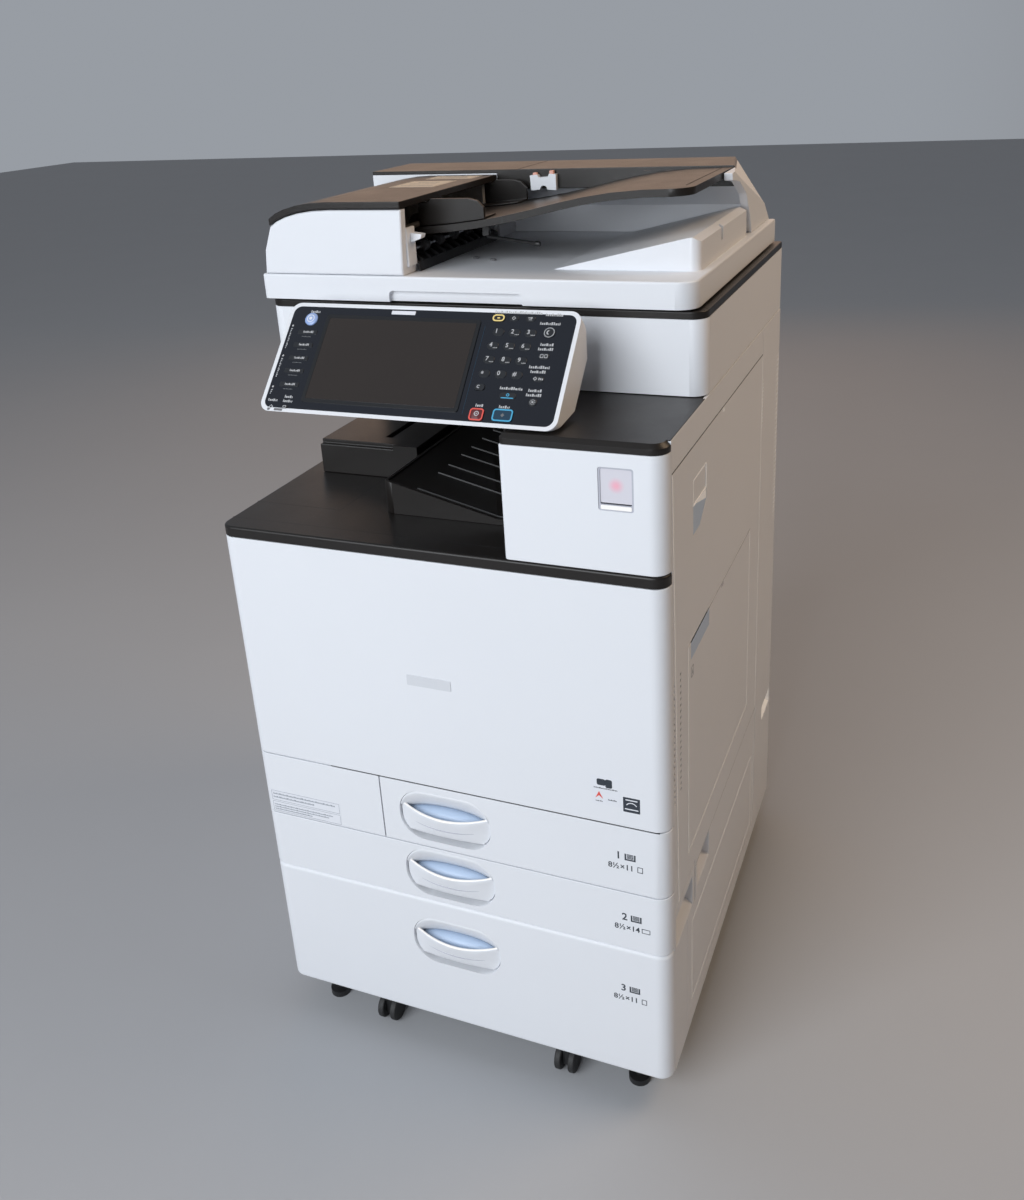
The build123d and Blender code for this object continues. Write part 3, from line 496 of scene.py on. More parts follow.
# rows of numerals: how far up the panel, the numerals, and the row's shift to the right
NUMBER_ROWS = ((44.5, "123", 3.2), (26.5, "456", 0.6), (8.5, "789", 0.2), (-9.3, "*0#", -1.0))
FIXED_KEYS = ((109.7, 63.1, 12, 7), (130.1, 63.2, 12, 7), (157.2, 16.0, 12, 8), (157.0, -12.6, 13, 7),
              (156.8, -41.5, 10, 10), (125.6, -35.6, 20, 8), (-155.9, -68.2, 8, 4.5))
FUNCTION_ROWS = (33.8, 16.0, -2.3, -19.7, -38.4)
LEGENDS = ((92, 71, 15), (111.5, 71, 20), (132, 71, 20), (158, 69.5, 21), (156, 58, 26), (157, 31, 15),
           (157, 25.2, 18), (155, 2.2, 25), (154.5, -3.6, 18), (157, -27, 17), (156, -32.6, 18),
           (127.5, -26, 27), (95.5, -49.2, 11), (125, -49.2, 13), (-154.5, 63, 14), (-154, -54.5, 12),
           (-154, -60.3, 13), (-174.5, -60, 14))
KEY_TOP = 0.7                   # height of a fixed key above the face
ON_KEY = (KEY_TOP, KEY_TOP + SKIN)
BAR_TOP = 0.6                   # height of a function bar
RISE = 1.2                      # height of a key that travels
ON_RISE = (RISE, RISE + SKIN)


def make_screen():
    """The touchscreen's bezel and glass, the blank name plate, and the panel's small lines."""
    outer, inner = rounded(*SCREEN, 206, 119, 3.5), rounded(*SCREEN, 197, 110, 1.5)
    Moulding(PANEL).ring(outer, inner, 0.02, 1.15).piece("screen_bezel", "bezel", "panel")
    pane = Moulding(PANEL).slab(rounded(*SCREEN, 196.6, 109.6, 1.5), 0.86, 1.0, 0.05)
    pane.piece("screen_glass", "screen", "panel")
    plate = Moulding(PANEL).slab(rounded(-33.7, 65.4, 32, 5.0, 0.6), 0.0, 0.35, 0.15)
    plate.piece("panel_badge_blank", "label", "panel")
    line = Moulding(PANEL).box((76.2, 76.6), (-62, 52), FLAT)
    line.piece("panel_hairline", "dark_blue", "panel")
    windows = Moulding(PANEL)
    for across in ((-179, -175.5), (-169.5, -158)):
        windows.box(across, (-73.8, -70.8), (-0.1, 0.15))
    windows.piece("panel_border_windows", "grey", "panel")


def make_fixed_keys():
    """The keys that are part of the membrane face, with their numerals and legends."""
    caps, pale, dim = Moulding(PANEL), Moulding(PANEL), Moulding(PANEL)
    for up, digits, shift in NUMBER_ROWS:
        for across, digit in zip(COLUMNS, digits):
            x = across + shift
            caps.slab(rounded(x, up, 14, 9.6, 4.4), 0, KEY_TOP, 0.35)
            pale.words(digit, 5.4, x - 2.4, up + 1.0 - (1.6 if digit == "*" else 0), *ON_KEY)
            if digit in "23456789":
                pale.greek(x + 3.4, up - 2.6, 5.0, 1.2, *ON_KEY)
    for x, up, width, height in FIXED_KEYS:
        caps.slab(rounded(x, up, width, height, height * 0.45), 0, KEY_TOP, 0.35)
    for up in FUNCTION_ROWS:
        x = -157.5 + (up - FUNCTION_ROWS[0]) * 0.03
        caps.slab(rounded(x, up, 27, 6.2, 1.4), 0, BAR_TOP, 0.3)
        pale.greek(x + 2, up + 0.3, 15, 2.8, BAR_TOP, BAR_TOP + SKIN)
        dim.greek(x, up - 6.0, 13, 1.2, *FLAT)
    caps.piece("panel_fixed_keys", "keycap", "panel")
    for x, up, width in LEGENDS:
        pale.greek(x, up, width, 3.6, *FLAT)
    add_upright_legends(pale)
    add_icons(pale)
    pale.piece("panel_legends", "legend", "panel")
    dim.piece("panel_small_legends", "dim", "panel")


def add_upright_legends(pale):
    """Print that climbs the panel's left edge, with a small lamp over each line of it."""
    x, pitch, stroke = -181.2, 2.4, 1.4
    for up, length in ((24, 29), (-17, 27), (-50, 8)):
        for step in range(int(length / pitch)):
            top = up + length / 2 - pitch * step
            pale.box((x - 1.1, x + 0.9 - 0.5 * (step % 3)), (top - stroke, top), FLAT)
        pale.slab(disc(x, up + length / 2 + 3.6, 1.3), 0, 0.4, 0.2)


def diamond(x, y, size):
    return [(x + size, y), (x, y + size), (x - size, y), (x, y - size)]


def add_icons(pale):
    """Small plain signs on the keys that have no numeral."""
    pale.ring(diamond(109.7, 63.1, 2.6), diamond(109.7, 63.1, 1.6), *ON_KEY)
    arrow = [(127.2, 64.6), (127.2, 63.6), (131, 63.6), (131, 62.4), (133, 64.1), (131, 65.6), (131, 64.6)]
    pale.slab(arrow, *ON_KEY)
    pale.box((128.4, 132.4), (61.2, 61.9), ON_KEY)
    for x in (154.6, 159.6):
        pale.ring(rounded(x, 16, 4, 4.6, 0.8), rounded(x, 16, 2.6, 3.2, 0.5), *ON_KEY)
    pale.ring(diamond(153.2, -12.6, 2.5), diamond(153.2, -12.6, 1.4), *ON_KEY)
    for k in range(3):
        pale.box((157.4 + 2.0 * k, 158.6 + 2.0 * k), (-14.2, -11.2 - 0.4 * k), ON_KEY)
    star_x, star_y, rays, reach = 156.8, -41.5, 8, 2.9
    for k in range(rays):
        angle = 2 * pi * k / rays
        pale.slab(disc(star_x + reach * cos(angle), star_y + reach * sin(angle), 0.6, 8), *ON_KEY)
    pale.slab(disc(star_x, star_y, 1.3, 12), *ON_KEY)
    pale.ring(diamond(-174.9, -69.0, 2.8), diamond(-174.9, -69.0, 1.7), *FLAT)
    pale.ring(rounded(-155.9, -68.2, 4.4, 3.0, 0.6), rounded(-155.9, -68.2, 3.2, 1.8, 0.4), *ON_KEY)


def arc_band(x, y, inner, outer, start, end, steps=16):
    """A curved band between two angles, as one outline."""
    angles = [radians(start + (end - start) * k / steps) for k in range(steps + 1)]
    outside = [(x + outer * cos(a), y + outer * sin(a)) for a in angles]
    inside = [(x + inner * cos(a), y + inner * sin(a)) for a in angles]
    return outside + inside[::-1]


def make_moving_keys():
    """Rings and signs on the keys that travel. Each rides on its key."""
    for key, look, middle, outer, inner, thick in (
            ("reset", "yellow", (91, 62.5), (15, 9, 4.3), (11.6, 5.8, 2.8), 0.25),
            ("stop", "red", (94, -61), (17, 15, 3.6), (13.8, 11.8, 2.4), 0.3),
            ("start", "blue", (125.5, -60), (24, 15, 3.6), (20.8, 11.8, 2.4), 0.3)):
        ring = Moulding(PANEL).ring(rounded(*middle, *outer), rounded(*middle, *inner), RISE, RISE + thick)
        ring.piece(f"{key}_ring", look, f"key_{key}")
    ring = Moulding(PANEL).ring(disc(157, 46, 6.3), disc(157, 46, 5.5), *ON_RISE)
    ring.piece("saver_ring", "legend", "key_energy_saver")
    for name, look, key, outline in (
            ("reset_sign", "yellow", "reset", rounded(91, 62.5, 3.6, 1.6, 0.7)),
            ("saver_moon", "legend", "energy_saver", arc_band(156.6, 46, 1.5, 2.9, 90, 270)),
            ("clear_sign", "legend", "clear", arc_band(88, -26.6, 1.25, 2.0, 45, 315)),
            ("start_sign", "dim", "start", diamond(125.5, -60, 2.4))):
        Moulding(PANEL).slab(outline, *ON_RISE).piece(name, look, f"key_{key}")
    sign = Moulding(PANEL).ring(disc(94, -60, 3.0), disc(94, -60, 2.0), *ON_RISE)
    sign.slab([(95.1, -60.6), (92.9, -60.6), (94, -58.9)], *ON_RISE).piece("stop_sign", "legend", "key_stop")
    copy = Moulding(PANEL).slab(rounded(125.6, -38.4, 15, 1.2, 0.5), *ON_KEY)
    copy.ring(disc(125.6, -34.6, 1.9), disc(125.6, -34.6, 1.1), *ON_KEY)
    copy.piece("sample_copy_sign", "blue", "panel")
    dome = [(8.2, RISE), (7.4, RISE + 0.7), (5.6, RISE + 1.2), (3.0, RISE + 1.45), (0.6, RISE + 1.5)]
    smooth(Moulding(PANEL).turned(-157.5, 52, dome, 32).piece("home_dome", "home", "key_home"), 60)
    pale = Moulding(PANEL).ring(disc(-157.5, 52, 5.2), disc(-157.5, 52, 4.2), RISE + 1.0, RISE + 1.45)
    pale.slab(disc(-157.5, 52, 2.2), RISE + 1.4, RISE + 1.62, 0.1)
    pale.piece("home_sign", "label", "key_home")


# ---- front prints -----------------------------------------------------------------------
def make_front_prints():
    """The blank name plate and two small stickers on the front door."""
    plate = Moulding(FRONT).slab(rounded(-11.5, 605.5, 61, 15, 1.2), -0.3, 0.7, 0.35)
    plate.piece("door_badge_blank", "badge", "front_door")
    film = Moulding(FRONT).slab(rounded(215.5, 496, 36, 40, 1.5), *FILM)
    film.piece("door_sticker_film", "label", "front_door")
    dark = Moulding(FRONT)
    for x, y, width, height in ((210, 508, 11, 9), (219.5, 507, 8.5, 12)):
        dark.slab(rounded(x, y, width, height, 2.2), *OVER)
    for x, y, width, height in ((215.5, 499.5, 30, 1.8), (207, 480.5, 9, 1.5), (224, 484.5, 11, 1.8)):
        dark.greek(x, y, width, height, *OVER)
    dark.slab(rounded(247.5, 482.5, 21, 21, 0.8), *FILM)
    dark.piece("door_sticker_print", "print", "front_door")
    chevron = Moulding(FRONT).slab([(207, 488.5), (212, 484), (207, 494.5), (202, 484)], *OVER)
    chevron.piece("door_sticker_mark", "red", "front_door")
    pale = Moulding(FRONT)
    for y, width in ((489.5, 15), (476.5, 17)):
        pale.slab(rounded(247.5, y, width, 1.5, 0.6), *OVER)
    pale.slab(arc_band(247.5, 478.5, 6.6, 7.8, 30, 150), *OVER)
    pale.piece("door_sticker_bars", "label", "front_door")


def make_waste_label():
    """Two framed notes on the waste cover, with strokes in place of words."""
    x, low, high, width = -223.5, 353.5, 388.5, 112
    film = Moulding(FRONT).slab(rounded(x, (low + high) / 2, width, high - low, 1.2), *FILM)
    film.piece("waste_label_film", "label", "waste_cover")
    marks = Moulding(FRONT)
    for z in (379.5, 361.5):
        marks.ring(rounded(x, z, width - 3, 15.8, 0.8), rounded(x, z, width - 3.8, 15, 0.6), *OVER)
    for z, length, size in ((382.5, 100, 2.6), (377, 66, 2.6), (364.5, 94, 2.0), (360.7, 88, 2.0),
                            (357, 60, 2.0)):
        marks.greek(x - (104 - length) / 2, z, length, size, *OVER)
    marks.piece("waste_label_print", "grey_print_and_painted_shade", "waste_cover")


TRAY_LABELS = {1: (236, 405, "8½×11"), 2: (242, 311.5, "8½×14"), 3: (238, 195, "8½×11")}


def make_tray_labels():
    """Each tray's number, how full it is, and the size of its sheets."""
    for number, (x, z, sheet) in TRAY_LABELS.items():
        marks = Moulding(FRONT)
        marks.words(str(number), 10.5, x - 7.0, z, *SUNK)
        stack = [(x + 1, z - 5), (x + 15, z - 5), (x + 15, z + 4.6), (x + 13, z + 4.6), (x + 13, z - 3),
                 (x + 3, z - 3), (x + 3, z + 4.6), (x + 1, z + 4.6)]
        marks.slab(stack, *SUNK)
        for row in range(4):
            marks.box((x + 3.8, x + 12.2), (z - 2.2 + 1.8 * row, z - 1.0 + 1.8 * row), SUNK)
        marks.words(sheet, 8.0, x - 4.0, z - 16.5, *SUNK)
        page = (x + 20.5, z - 16)
        wide, tall = (11, 7) if number == 2 else (7, 8.5)
        marks.ring(rounded(*page, wide, tall, 0.4), rounded(*page, wide - 1.8, tall - 1.8, 0.3), *SUNK)
        marks.piece(f"tray_label_{number}", "print", f"tray_{number}")


def loft(name, look, body, rows, angle):
    """A thin skin through rows of points, thickened away from its face."""
    skin = Moulding(WORLD)
    lines = [[skin.mesh.verts.new(point) for point in row] for row in rows]
    for first, second in zip(lines, lines[1:]):
        for k in range(len(first) - 1):
            skin.mesh.faces.new((first[k], first[k + 1], second[k + 1], second[k]))
    made = skin.piece(name, look, body)
    thick = made.modifiers.new("thickness", "SOLIDIFY")
    thick.thickness = 0.6 * MM
    thick.offset = 0
    return smooth(made, angle)


def recess_top(x, level):
    """The height of the recess's upper edge at a distance from its middle."""
    straight, corner = 30.5, 34.5
    if abs(x) < straight:
        return level + 37.5
    return level + 3 + max(0, corner ** 2 - (abs(x) - straight) ** 2) ** 0.5


def scoop_rows(mid_x, level, spans):
    """The recess's upper slope, which runs in and down to the pocket."""
    steps, half, deep = 6, 64.6, 14.3
    for step in range(steps + 1):
        part = step / steps
        row = []
        for t in spans:
            x = half * t
            top = recess_top(x, level)
            inner = min(level + 9.5 - 7.5 * t * t, top - 0.3)
            depth = 0.7 + deep * part ** 1.4 * (1 - 0.45 * t ** 4)
            row.append((mid_x + x * (1 - 0.05 * part), FRONT_Y + depth, top + (inner - top) * part))
        yield row


def floor_rows(mid_x, level, spans):
    """The pocket's floor, from its back up under the grip's edge."""
    for part in (0, 0.5, 1):
        yield [(mid_x + 61.4 * t, FRONT_Y + 14.6 * (1 - part) - 0.5 * part + 4.0 * t * t * part,
                level + 9.8 - 7.5 * t * t - part * (12.5 - 8.5 * t * t)) for t in spans]


def roll(mid_x, y, z, radius, bow):
    """A thin bar that follows the grip's bowed and sagging edge."""
    bar = Moulding(WORLD)
    steps, reach, half, sag = 32, 0.95, 64, 8.6
    rows = []
    for k in range(steps + 1):
        t = reach * (2 * k / steps - 1)
        section = disc(y + bow * t * t, z + sag * t * t, radius, 12)
        rows.append([bar.mesh.verts.new((mid_x + half * t, across, up)) for across, up in section])
    for first, second in zip(rows, rows[1:]):
        bar.skin(first, second)
    bar.mesh.faces.new(rows[0][::-1])
    bar.mesh.faces.new(rows[-1])
    return tidy(bar)


def make_pockets():
    """The scoop in each tray's front, and the grip's rolled edge and crease, with painted shade on the
    pocket floor and the crease and a painted highlight on the rolled edge.
    """
    spans = [-0.985 + 1.97 * k / 30 for k in range(31)]
    for number in (1, 2, 3):
        low, high = box_of(f"tray_grip_{number}")
        mid_x, level, body = (low.x + high.x) / 2, low.z + 27, f"tray_{number}"
        loft(f"tray_scoop_{number}", "white", body, scoop_rows(mid_x, level, spans), 60)
        # The pocket floor's pale blue is painted shade.
        loft(f"tray_pocket_{number}", "pocket", body, floor_rows(mid_x, level, spans), 60)
        # The rolled rim takes the edge look: a painted highlight along the grip's crest.
        rim = roll(mid_x, low.y + 1.95, level + 3.0, 1.9, 12.0)
        smooth(rim.piece(f"tray_grip_rim_{number}", "edge", body), 60)
        # The crease is a thin grey bar: painted shade along the fold.
        crease = roll(mid_x, low.y + 4.05, level - 14.5, 0.8, 8.6)
        smooth(crease.piece(f"tray_grip_crease_{number}", "outline", body), 60)


def make_indicator():
    """The pale lamp in the block right of the paper exit, with a painted highlight on the ledge under it."""
    x, z = 238, 886
    LOOKS["lens"] = lamp_lens("indicator_lens", (x * MM, (FRONT_Y + 2) * MM, (z + 4) * MM), 0.011)
    lens = Moulding(FRONT).slab(rounded(x, z + 3.5, 36.5, 40, 2), -3.4, -1.8, 0.3)
    lens.piece("indicator_lens", "lens", "chassis")
    border = Moulding(FRONT)
    border.ring(rounded(x, z, 39.9, 49.9, 3), rounded(x, z + 2.5, 35.4, 41, 2.2), -3.6, -0.9)
    border.piece("indicator_frame", "outline", "chassis")
    # The ledge takes the edge look: a painted highlight.
    ledge = Moulding(FRONT).slab(rounded(x, z - 21.2, 35, 5, 1.2), -1.0, -0.2, 0.3)
    ledge.piece("indicator_ledge", "edge", "chassis")


def make_exit_ribs():
    """Thin ribs that carry the sheets down the exit tray."""
    high = box_of("exit_tray")[1]
    ribs = Moulding(WORLD)
    start_x, knee_x, end_x = high.x - 158, high.x - 47, high.x - 1
    knee_z, end_z = high.z - 39.2, high.z - 41.2
    fall = 36.3 / 149               # the tray's slope above the knee
    start_z = knee_z + (knee_x - start_x) * fall
    section = ((-1.1, -0.6), (1.1, -0.6), (0.5, 1.7), (-0.5, 1.7))
    for y in (-231, -172, -141, -100, -67, -30, 8, 46):
        for ends in (((start_x, start_z), (knee_x, knee_z)), ((knee_x, knee_z), (end_x, end_z))):
            rows = [[ribs.mesh.verts.new((x, y + side, z + rise)) for side, rise in section]
                    for x, z in ends]
            ribs.skin(*rows)
            ribs.mesh.faces.new(rows[0][::-1])
            ribs.mesh.faces.new(rows[1])
    tidy(ribs).piece("exit_tray_ribs", "rib", "chassis")


# ---- feeder -----------------------------------------------------------------------------
def prism_y(drawing, points, y):
    """A prism along Y from points in X and Z."""
    near = [drawing.mesh.verts.new((x, y[0], z)) for x, z in points]
    far = [drawing.mesh.verts.new((x, y[1], z)) for x, z in points]
    drawing.skin(near, far)
    drawing.mesh.faces.new(near[::-1])
    drawing.mesh.faces.new(far)
    return drawing


def rod_y(drawing, x, z, radius, y, steps=20):
    """A round bar along Y."""
    return prism_y(drawing, [(x + a, z + b) for a, b in disc(0, 0, radius, steps)], y)


def tidy(drawing):
    bmesh.ops.recalc_face_normals(drawing.mesh, faces=drawing.mesh.faces)
    return drawing


def make_feeder_mouth():
    """The rollers, guides and sill in the slot where the originals come out."""
    low, high = box_of("feeder_body")
    mouth, floor = high.x, low.z + 9.5
    across = (low.y + 35, high.y - 12)
    wall = Moulding(WORLD).box((mouth - 5, mouth - 0.4), (low.y + 12, low.y + 34), (floor, floor + 47), 0.6)
    wall.piece("feeder_side_wall", "white", "platen")
    wedge = Moulding(WORLD)
    prism_y(wedge, [(mouth - 1, 1114), (mouth + 13, 1119), (mouth + 15, 1124), (mouth - 1, 1126)],
            (low.y + 22, low.y + 33))
    tidy(wedge).piece("feeder_side_wedge", "white", "platen")
    sill = Moulding(WORLD)
    prism_y(sill, [(mouth + 3, low.z), (mouth + 1.5, floor + 2), (mouth - 16, floor + 8),
                   (mouth - 18, floor + 0.4), (mouth + 0.3, floor + 0.4), (mouth + 0.3, low.z)], across)
    fin = [(mouth + 2.5, floor), (mouth - 16, floor + 8), (mouth - 24, floor + 22), (mouth - 20, floor + 22),
           (mouth - 8, floor + 11), (mouth + 2.5, floor + 5)]
    for k in range(11):
        y = low.y + 44 + 22 * k
        prism_y(sill, fin, (y - 1.2, y + 1.2))
    tidy(sill).piece("delivery_guide", "black", "platen")
    shaft_x, shaft_z = mouth - 13, floor + 16
    shaft = rod_y(Moulding(WORLD), shaft_x, shaft_z, 3.0, (low.y + 16, high.y - 12))
    tidy(shaft).piece("delivery_shaft", "bright", "platen")
    rollers = Moulding(WORLD)
    for k in range(6):
        y = low.y + 33 + 44 * k
        rod_y(rollers, shaft_x, shaft_z, 7.5, (y - 7, y + 7))
        rod_y(rollers, shaft_x - 2, shaft_z + 14, 5.5, (y - 5, y + 5))
    tidy(rollers).piece("delivery_rollers", "roller", "platen")
    ceiling = [(mouth - 4, 1112), (mouth - 20, 1108), (mouth - 60, 1104), (mouth - 60, 1107),
               (mouth - 20, 1112)]
    tidy(prism_y(Moulding(WORLD), ceiling, across)).piece("delivery_plate", "black", "platen")


def make_feeder_fittings():
    """The lever that feels the sheets, the white bracket behind it, and two screws in the floor."""
    lever = Moulding(face((-16, -62, 1109), (0, 1, 0), (0.13, 0, 0.99)))
    lever.turned(0, 0, [(1.6, 0), (2.2, 1), (2.2, 66), (3.0, 67), (3.4, 70), (3.0, 73.5)], 16)
    smooth(lever.piece("sheet_lever", "black", "input_tray"), 50)
    mount = prism_y(Moulding(WORLD), [(-20, 1110), (-12, 1111), (-11, 1121.5), (-20, 1121)], (-66, -58))
    tidy(mount).piece("sheet_lever_mount", "black", "input_tray")
    wall = face((-6, box_of("feeder_lid")[0].y, 1157), (1, 0, 0), (0, 0, 1))
    notch = [(5.5 * cos(pi * k / 8), -11.5 + 5.5 * sin(pi * k / 8)) for k in range(9)]
    outline = [(19, -12.5), (19, 9), (9, 10), (7, 6), (-7, 5), (-9, 9), (-20, 8), (-19, -12.5)]
    bracket = Moulding(wall).slab(outline + notch[::-1], 0.2, 9)
    bracket.piece("feed_lock_bracket", "white", "input_tray")
    pegs = Moulding(wall)
    for x, z in ((-13, 9.2), (12, 11.7)):
        pegs.slab(rounded(x, z, 6, 5, 1.5), 2, 8, 0.6)
    pegs.piece("feed_lock_pegs", "pink", "input_tray")
    screws = Moulding(face((0, 0, box_of("feeder_body")[0].z), (1, 0, 0), (0, 1, 0)))
    for x, y in ((-44, -40), (-14, -52)):
        screws.turned(x, y, [(4.4, 0), (4.4, 1.0), (3.6, 1.9), (0.3, 2.2)], 16)
    screws.piece("output_floor_screws", "grey", "platen")


def make_tray_trim():
    """The input tray's seams, its two sheet sensors and the notch in its front rim."""
    low, high = box_of("input_tray")
    notch = Moulding(WORLD).box((24.2, 25.8), (low.y - 0.15, low.y + 0.6), (1131.5, 1139.5))
    notch.piece("input_tray_notch", "black", "input_tray")
    top = face((0, 0, high.z), (1, 0, 0), (0, 1, 0))
    lines = Moulding(top)
    lines.box((high.x - 14.6, high.x - 13.6), (low.y + 36, high.y - 8), (-0.3, 0.1))
    lines.box((high.x - 60, high.x - 13.6), (high.y - 8.6, high.y - 8), (-0.3, 0.1))
    lines.piece("input_tray_seams", "black", "input_tray")
    sensors = Moulding(top)
    for x in (high.x - 80, high.x - 110):
        sensors.slab(rounded(x, high.y - 30, 9, 3, 1.4), -0.3, 0.25)
    sensors.piece("input_tray_sensors", "black", "input_tray")


def make_feeder_labels():
    """Two pale pictograms of the sheet path on the feed cover."""
    high = box_of("feed_cover")[1]
    top = face((0, 0, high.z), (1, 0, 0), (0, 1, 0))
    film, marks = Moulding(top), Moulding(top)
    for x, y, width, depth in ((high.x - 62, 18, 68, 74), (high.x - 52, 96, 72, 40)):
        film.slab(rounded(x, y, width, depth, 1.0), *SUNK)
        frame_line = [rounded(x, y, width - inset, depth - inset, radius)
                      for inset, radius in ((5, 0.8), (6.4, 0.6))]
        marks.ring(*frame_line, *OVER)
        for row in range(3):
            marks.greek(x, y + (row - 1) * depth / 4, width * (0.72 - 0.12 * row), 3.0, *OVER)
    film.piece("feed_label_film", "buff", "feed_cover")
    marks.piece("feed_label_print", "dim", "feed_cover")


def make_platen_details():
    """What shows when the platen cover is up."""
    low, high = box_of("platen_cover")
    sheet_z = low.z + 0.6
    middle = (-5, (low.y + high.y) / 2 - 2)
    sheet = Moulding(WORLD)
    sheet.stack([(rounded(*middle, 545, 455, 8), sheet_z), (rounded(*middle, 548, 458, 9), sheet_z + 1.2),
                 (rounded(*middle, 546, 456, 8), sheet_z + 5)])
    tidy(sheet).piece("platen_backing_sheet", "white", "platen")
    plane = face((0, 0, box_of("scanner_rim")[1].z), (1, 0, 0), (0, 1, 0))
    strip = Moulding(plane).slab(rounded(-262, 45, 18, 300, 1.0), -0.2, 0.6, 0.2)
    strip.piece("feeder_reading_glass", "dark_glass", "chassis")
    corner, far_corner = box_of("exposure_glass")
    left, rear = corner.x, far_corner.y
    scale = Moulding(plane)
    for k in range(43):
        x = left + 4 + 10 * k
        scale.box((x, x + 0.8), (rear + 3, rear + (9 if k % 5 else 13)), FILM)
    for k in range(30):
        y = rear - 8 - 10 * k
        scale.box((left - (7 if k % 5 else 10), left - 2), (y, y + 0.8), FILM)
    scale.piece("original_size_scale", "legend", "chassis")
    for side, x in (("left", -175), ("right", 175)):
        hinge = Moulding(plane).slab(rounded(x, 292, 46, 50, 3), 0.05, 2.2, 0.5)
        for offset in (-14, 14):
            hinge.turned(x + offset, 280, [(4, 2.2), (4, 2.6), (2, 2.75)], 12)
        hinge.piece(f"platen_hinge_plate_{side}", "bright", "chassis")


# ---- sides, back and inside ---------------------------------------------------------------
def outline_ring(drawing, y, z, width):
    """A raised line round a rectangle on a side."""
    inner = shrink_by(y, width), shrink_by(z, width)
    drawing.ring(around(y, z, 1.5), around(*inner, 1.2), *RAISED)


def shrink_by(span, inset):
    return span[0] + inset, span[1] - inset


def around(y, z, radius):
    """A rounded rectangle between two pairs of limits."""
    return rounded((y[0] + y[1]) / 2, (z[0] + z[1]) / 2, y[1] - y[0], z[1] - z[0], radius)


def facets(drawing, base, apex, depth):
    """Faceted walls that fall from a pocket's edge to one point inside it."""
    low = [drawing.mesh.verts.new((y, z, -0.2)) for y, z in base]
    tip = drawing.mesh.verts.new((*apex, -depth))
    for k in range(len(low)):
        drawing.mesh.faces.new((low[k - 1], low[k], tip))
    drawing.mesh.faces.new(low[::-1])
    return drawing


def tub(y, z, depth, wall=1.2):
    """A pocket's lining: a floor and four walls."""
    drawing = Moulding(RIGHT)
    outer = around(shrink_by(y, 0.2), shrink_by(z, 0.2), 4)
    inner = around(shrink_by(y, wall), shrink_by(z, wall), 3)
    floor = around(shrink_by(y, 2 * wall), shrink_by(z, 4 * wall), 3)
    rows = [drawing.row(outer, -depth - wall), drawing.row(outer, -0.3), drawing.row(inner, -0.3),
            drawing.row(floor, -depth)]
    for first, second in zip(rows, rows[1:]):
        drawing.skin(first, second)
    drawing.mesh.faces.new(rows[-1])
    drawing.mesh.faces.new(rows[0][::-1])
    return drawing


def leaf(corners):
    """A thin sloping plate with the corners (y, z, depth)."""
    drawing = Moulding(RIGHT)
    near = [drawing.mesh.verts.new(corner) for corner in corners]
    far = [drawing.mesh.verts.new((y, z, depth - 1)) for y, z, depth in corners]
    drawing.skin(near, far)
    drawing.mesh.faces.new(near)
    drawing.mesh.faces.new(far[::-1])
    return tidy(drawing)


SLOT_Z, SLOT_PITCH, SLOT_ROWS = 475, 8.5, 20      # the vent slots beside the right door's front edge


def make_side_dots():
    """Two columns of vent dots at the right side's rear, in a colour that glows as a painted highlight."""
    door_rear = box_of("right_door")[1].y
    # These dots take the edge look: painted highlights.
    dots = Moulding(RIGHT)
    for k in range(12):
        dots.slab(disc(door_rear + 6, 793 + 5.8 * k, 2.2, 8), *RAISED)
    dots.piece("side_vent_dots", "edge", "chassis")
    # These dots take the edge look too: painted highlights.
    column = Moulding(RIGHT)
    for k in range(34):
        for y in (320, 328):
            column.slab(rounded(y, 600 + 8 * k, 3.8, 5.0, 1.2), *RAISED)
    column.piece("rear_edge_vent_dots", "edge", "chassis")


def make_side_lines():
    """The moulded edges of the doors on the right, as raised lines with painted highlights on them."""
    low, high = box_of("right_door")
    # The edge look on the door's edge lines is a painted highlight.
    edges = Moulding(RIGHT).box((high.y - 2.6, high.y - 0.1), (low.z, high.z), RAISED)
    foot, head = low.z + 12, high.z - 1
    edges.slab([(-292.3, foot), (-289.6, foot), (-307.6, head), (-310.3, head)], *RAISED)
    edges.piece("right_door_edge", "edge", "right_door")
    joints = Moulding(RIGHT)
    joints.box((-206, high.y), (low.z - 0.9, low.z - 0.1), (-3, -0.1))
    joints.box((-310, high.y), (high.z + 0.2, high.z + 1.3), (-3, -0.1))
    joints.piece("right_door_joints", "black", "chassis")
    # The catch takes the edge look: a painted highlight.
    catch = Moulding(RIGHT).slab(rounded(-60, high.z - 3.5, 9, 6, 1.5), *RAISED)
    catch.piece("right_door_catch", "edge", "right_door")
    low, high = box_of("bypass_tray")
    # The bypass tray's rim lines take the edge look: painted highlights.
    rim = Moulding(RIGHT)
    for y in ((low.y + 0.1, low.y + 2.4), (high.y - 2.4, high.y - 0.1)):
        rim.box(y, (low.z, high.z - 1), RAISED)
    rim.box((low.y + 2.4, high.y - 2.4), (low.z + 0.1, low.z + 1.2), RAISED)
    rim.piece("bypass_tray_edge", "edge", "bypass_tray")
    seam = Moulding(RIGHT).box((low.y + 96, high.y), (high.z - 0.9, high.z - 0.1), RAISED)
    seam.slab(rounded((low.y + high.y) / 2, high.z - 3.5, 14, 5, 1.5), *RAISED)
    seam.piece("bypass_top_seam", "outline", "bypass_tray")
    low, high = box_of("bank_door")
    # The bank door's lines take the edge look: painted highlights.
    panel = Moulding(RIGHT)
    outline_ring(panel, (low.y + 22, high.y - 22), (low.z + 22, high.z - 77), 2.2)
    panel.box((high.y - 2.4, high.y - 0.1), (low.z, high.z), RAISED)
    panel.piece("bank_door_lines", "edge", "bank_door")


